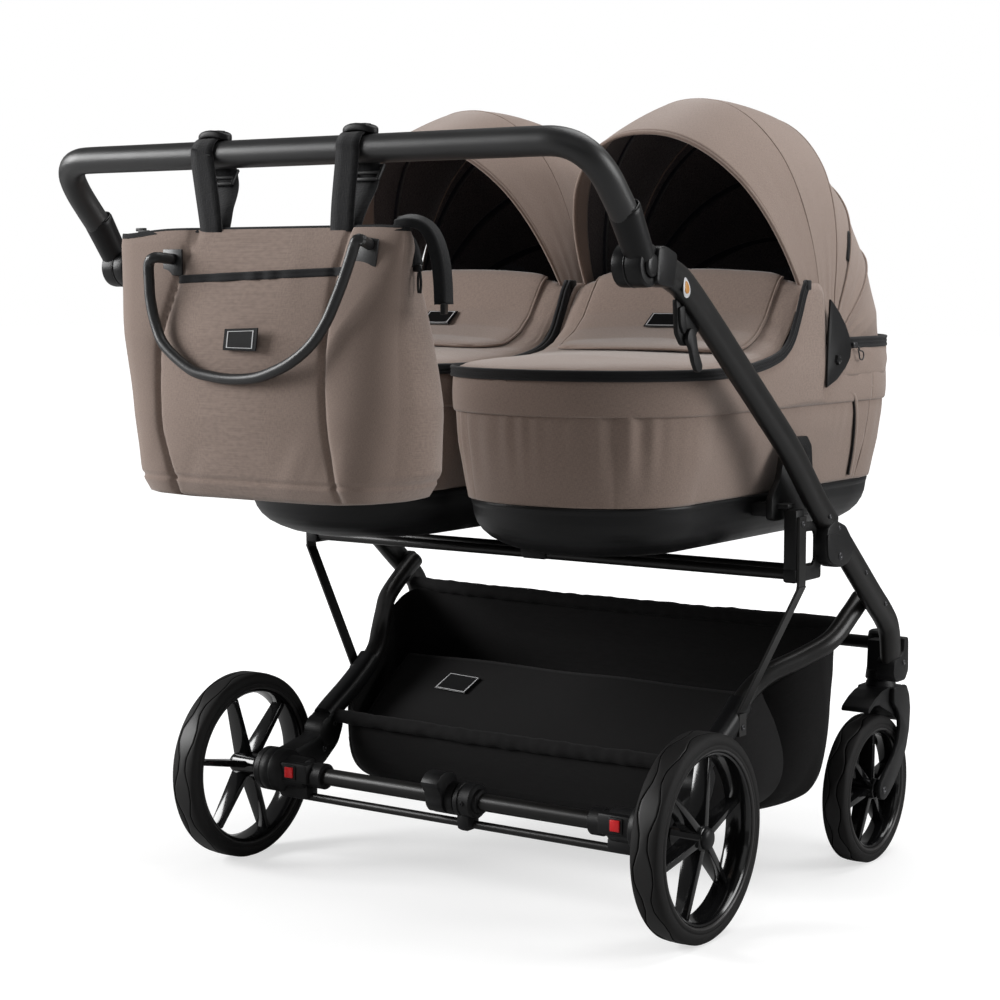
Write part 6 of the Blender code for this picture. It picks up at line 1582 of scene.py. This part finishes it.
# Down the sling: share of its depth, front and rear
SLING_ROWS = ((0.0, 0.43, 0.124), (0.15, 0.442, 0.123), (0.3, 0.446, 0.124), (0.45, 0.44, 0.128),
              (0.6, 0.424, 0.134), (0.72, 0.402, 0.142), (0.82, 0.376, 0.152), (0.9, 0.348, 0.166),
              (0.96, 0.316, 0.186), (1.0, 0.28, 0.21))
LEG_ROWS = sorted((y, x) for x, y, z in LEG_LINE)
black_sling = cloth("black_basket_cloth", (0.0065, 0.006, 0.0062), (0.004, 0.0038, 0.004),
                    sheen=0.02)


def sling_place(u, v):
    """A place on the sling's outside: u runs once round and v from its mouth to its bottom."""
    front_y, rear_y = along_line(v, SLING_ROWS), along_line(v, SLING_ROWS, column=2)
    middle_y, half_y = (front_y + rear_y) / 2, (front_y - rear_y) / 2
    turn = math.tau * u
    c, s = math.cos(turn), math.sin(turn)
    y = middle_y + half_y * math.copysign(abs(s) ** 0.2, s)
    mouth_z = REAR_HEM[1] + (FRONT_HEM[1] - REAR_HEM[1]) * ramp(y, REAR_HEM[0], FRONT_HEM[0])
    sag = 1 - (1 - v) ** 1.6
    z = mouth_z + (SLING_LOW - mouth_z) * sag
    mouth = min(along_line(y, LEG_ROWS) - 0.009, 0.3125 + max(y - 0.15, 0) * 2)
    swell = max(0.376 - mouth, 0) * math.sin(math.pi * min(v * 1.15, 1)) * ramp(y, 0.17, 0.26)
    corner = 0.052 * max(y - 0.37, 0) ** 2 / 0.08 ** 2 * min(4 * v, 1)
    half_x = mouth + swell - 0.085 * v ** 4.2 - corner
    x = half_x * math.copysign(abs(c) ** 0.18, c)
    loose = 0.0028 * crease(x * 1.2, y * 1.2, z, 9, 2.0) * math.sin(math.pi * min(v * 1.3, 1))
    crinkle = 0.0016 * crease(x, y * 0.3, z, 60, 6.0) * math.exp(-v * 9)
    outward = Vector((x * 0.9, (y - middle_y) * 1.4, 0)).normalized()
    return at(x, y, z) + outward * (loose + crinkle)


sling_bm = filled(sewn(260, 54, sling_place, (1.9, 0.45), flip=True), high=BOTTOM_ZONE)
if sum(f.calc_area() * f.normal.z for f in sling_bm.faces if f.calc_center_median().z < BOTTOM_ZONE) > 0:
    bmesh.ops.reverse_faces(sling_bm, faces=sling_bm.faces)
sling = dress("basket_sling", sling_bm, black_sling, "chassis", "basket", wall=SLING_WALL)

for name, (y, z), reach, radius in (("front", FRONT_HEM, along_line(FRONT_HEM[0], LEG_ROWS) - 0.0155, 0.0115),
                                    ("rear", (REAR_HEM[0] + 0.006, REAR_HEM[1]), 0.319, 0.011)):
    def hem(u, v):
        """The rolled hem, crinkled along its length."""
        x = -reach + 2 * reach * u
        c, s = math.cos(math.tau * v), math.sin(math.tau * v)
        r = radius + 0.0016 * crease(x, 0.004 * c, 0.02 * s, 55, 1.0)
        r += 0.0012 * crease(x, 0.0, 0.03 * s, 14, 4.0)
        return at(x, y + r * c, z - 0.003 * math.sin(math.pi * u) + r * s)

    dress(f"basket_{name}_hem", filled(sewn(260, 16, hem, (2 * reach, 0.07))), black_sling, "chassis")


def floor_place(u, v):
    """The stiffened floor inside: it rises from the rear hem and ends in a fold before the front wall."""
    y = 0.15 + 0.19 * v
    x = (2 * u - 1) * (0.298 + 0.04 * v)
    return at(x, y, 0.17 + 0.1 * v ** 0.8 + 0.002 * crease(x, y, 0, 8, 9.0))


dress("basket_floor", sewn(80, 24, floor_place, (0.62, 0.22)), black_sling, "chassis", wall=FLOOR_WALL)
label_at = [floor_place(u, v) + Vector((0, -0.001, 0.0018)) for u, v in
            ((0.15, 0.56), (0.245, 0.54), (0.256, 0.74), (0.164, 0.76))]
bare_plate("basket_label", label_at, (0, -0.45, 0.9), "chassis", 0.06)


# The bounds of all that is shown, the floor left out
low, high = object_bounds()
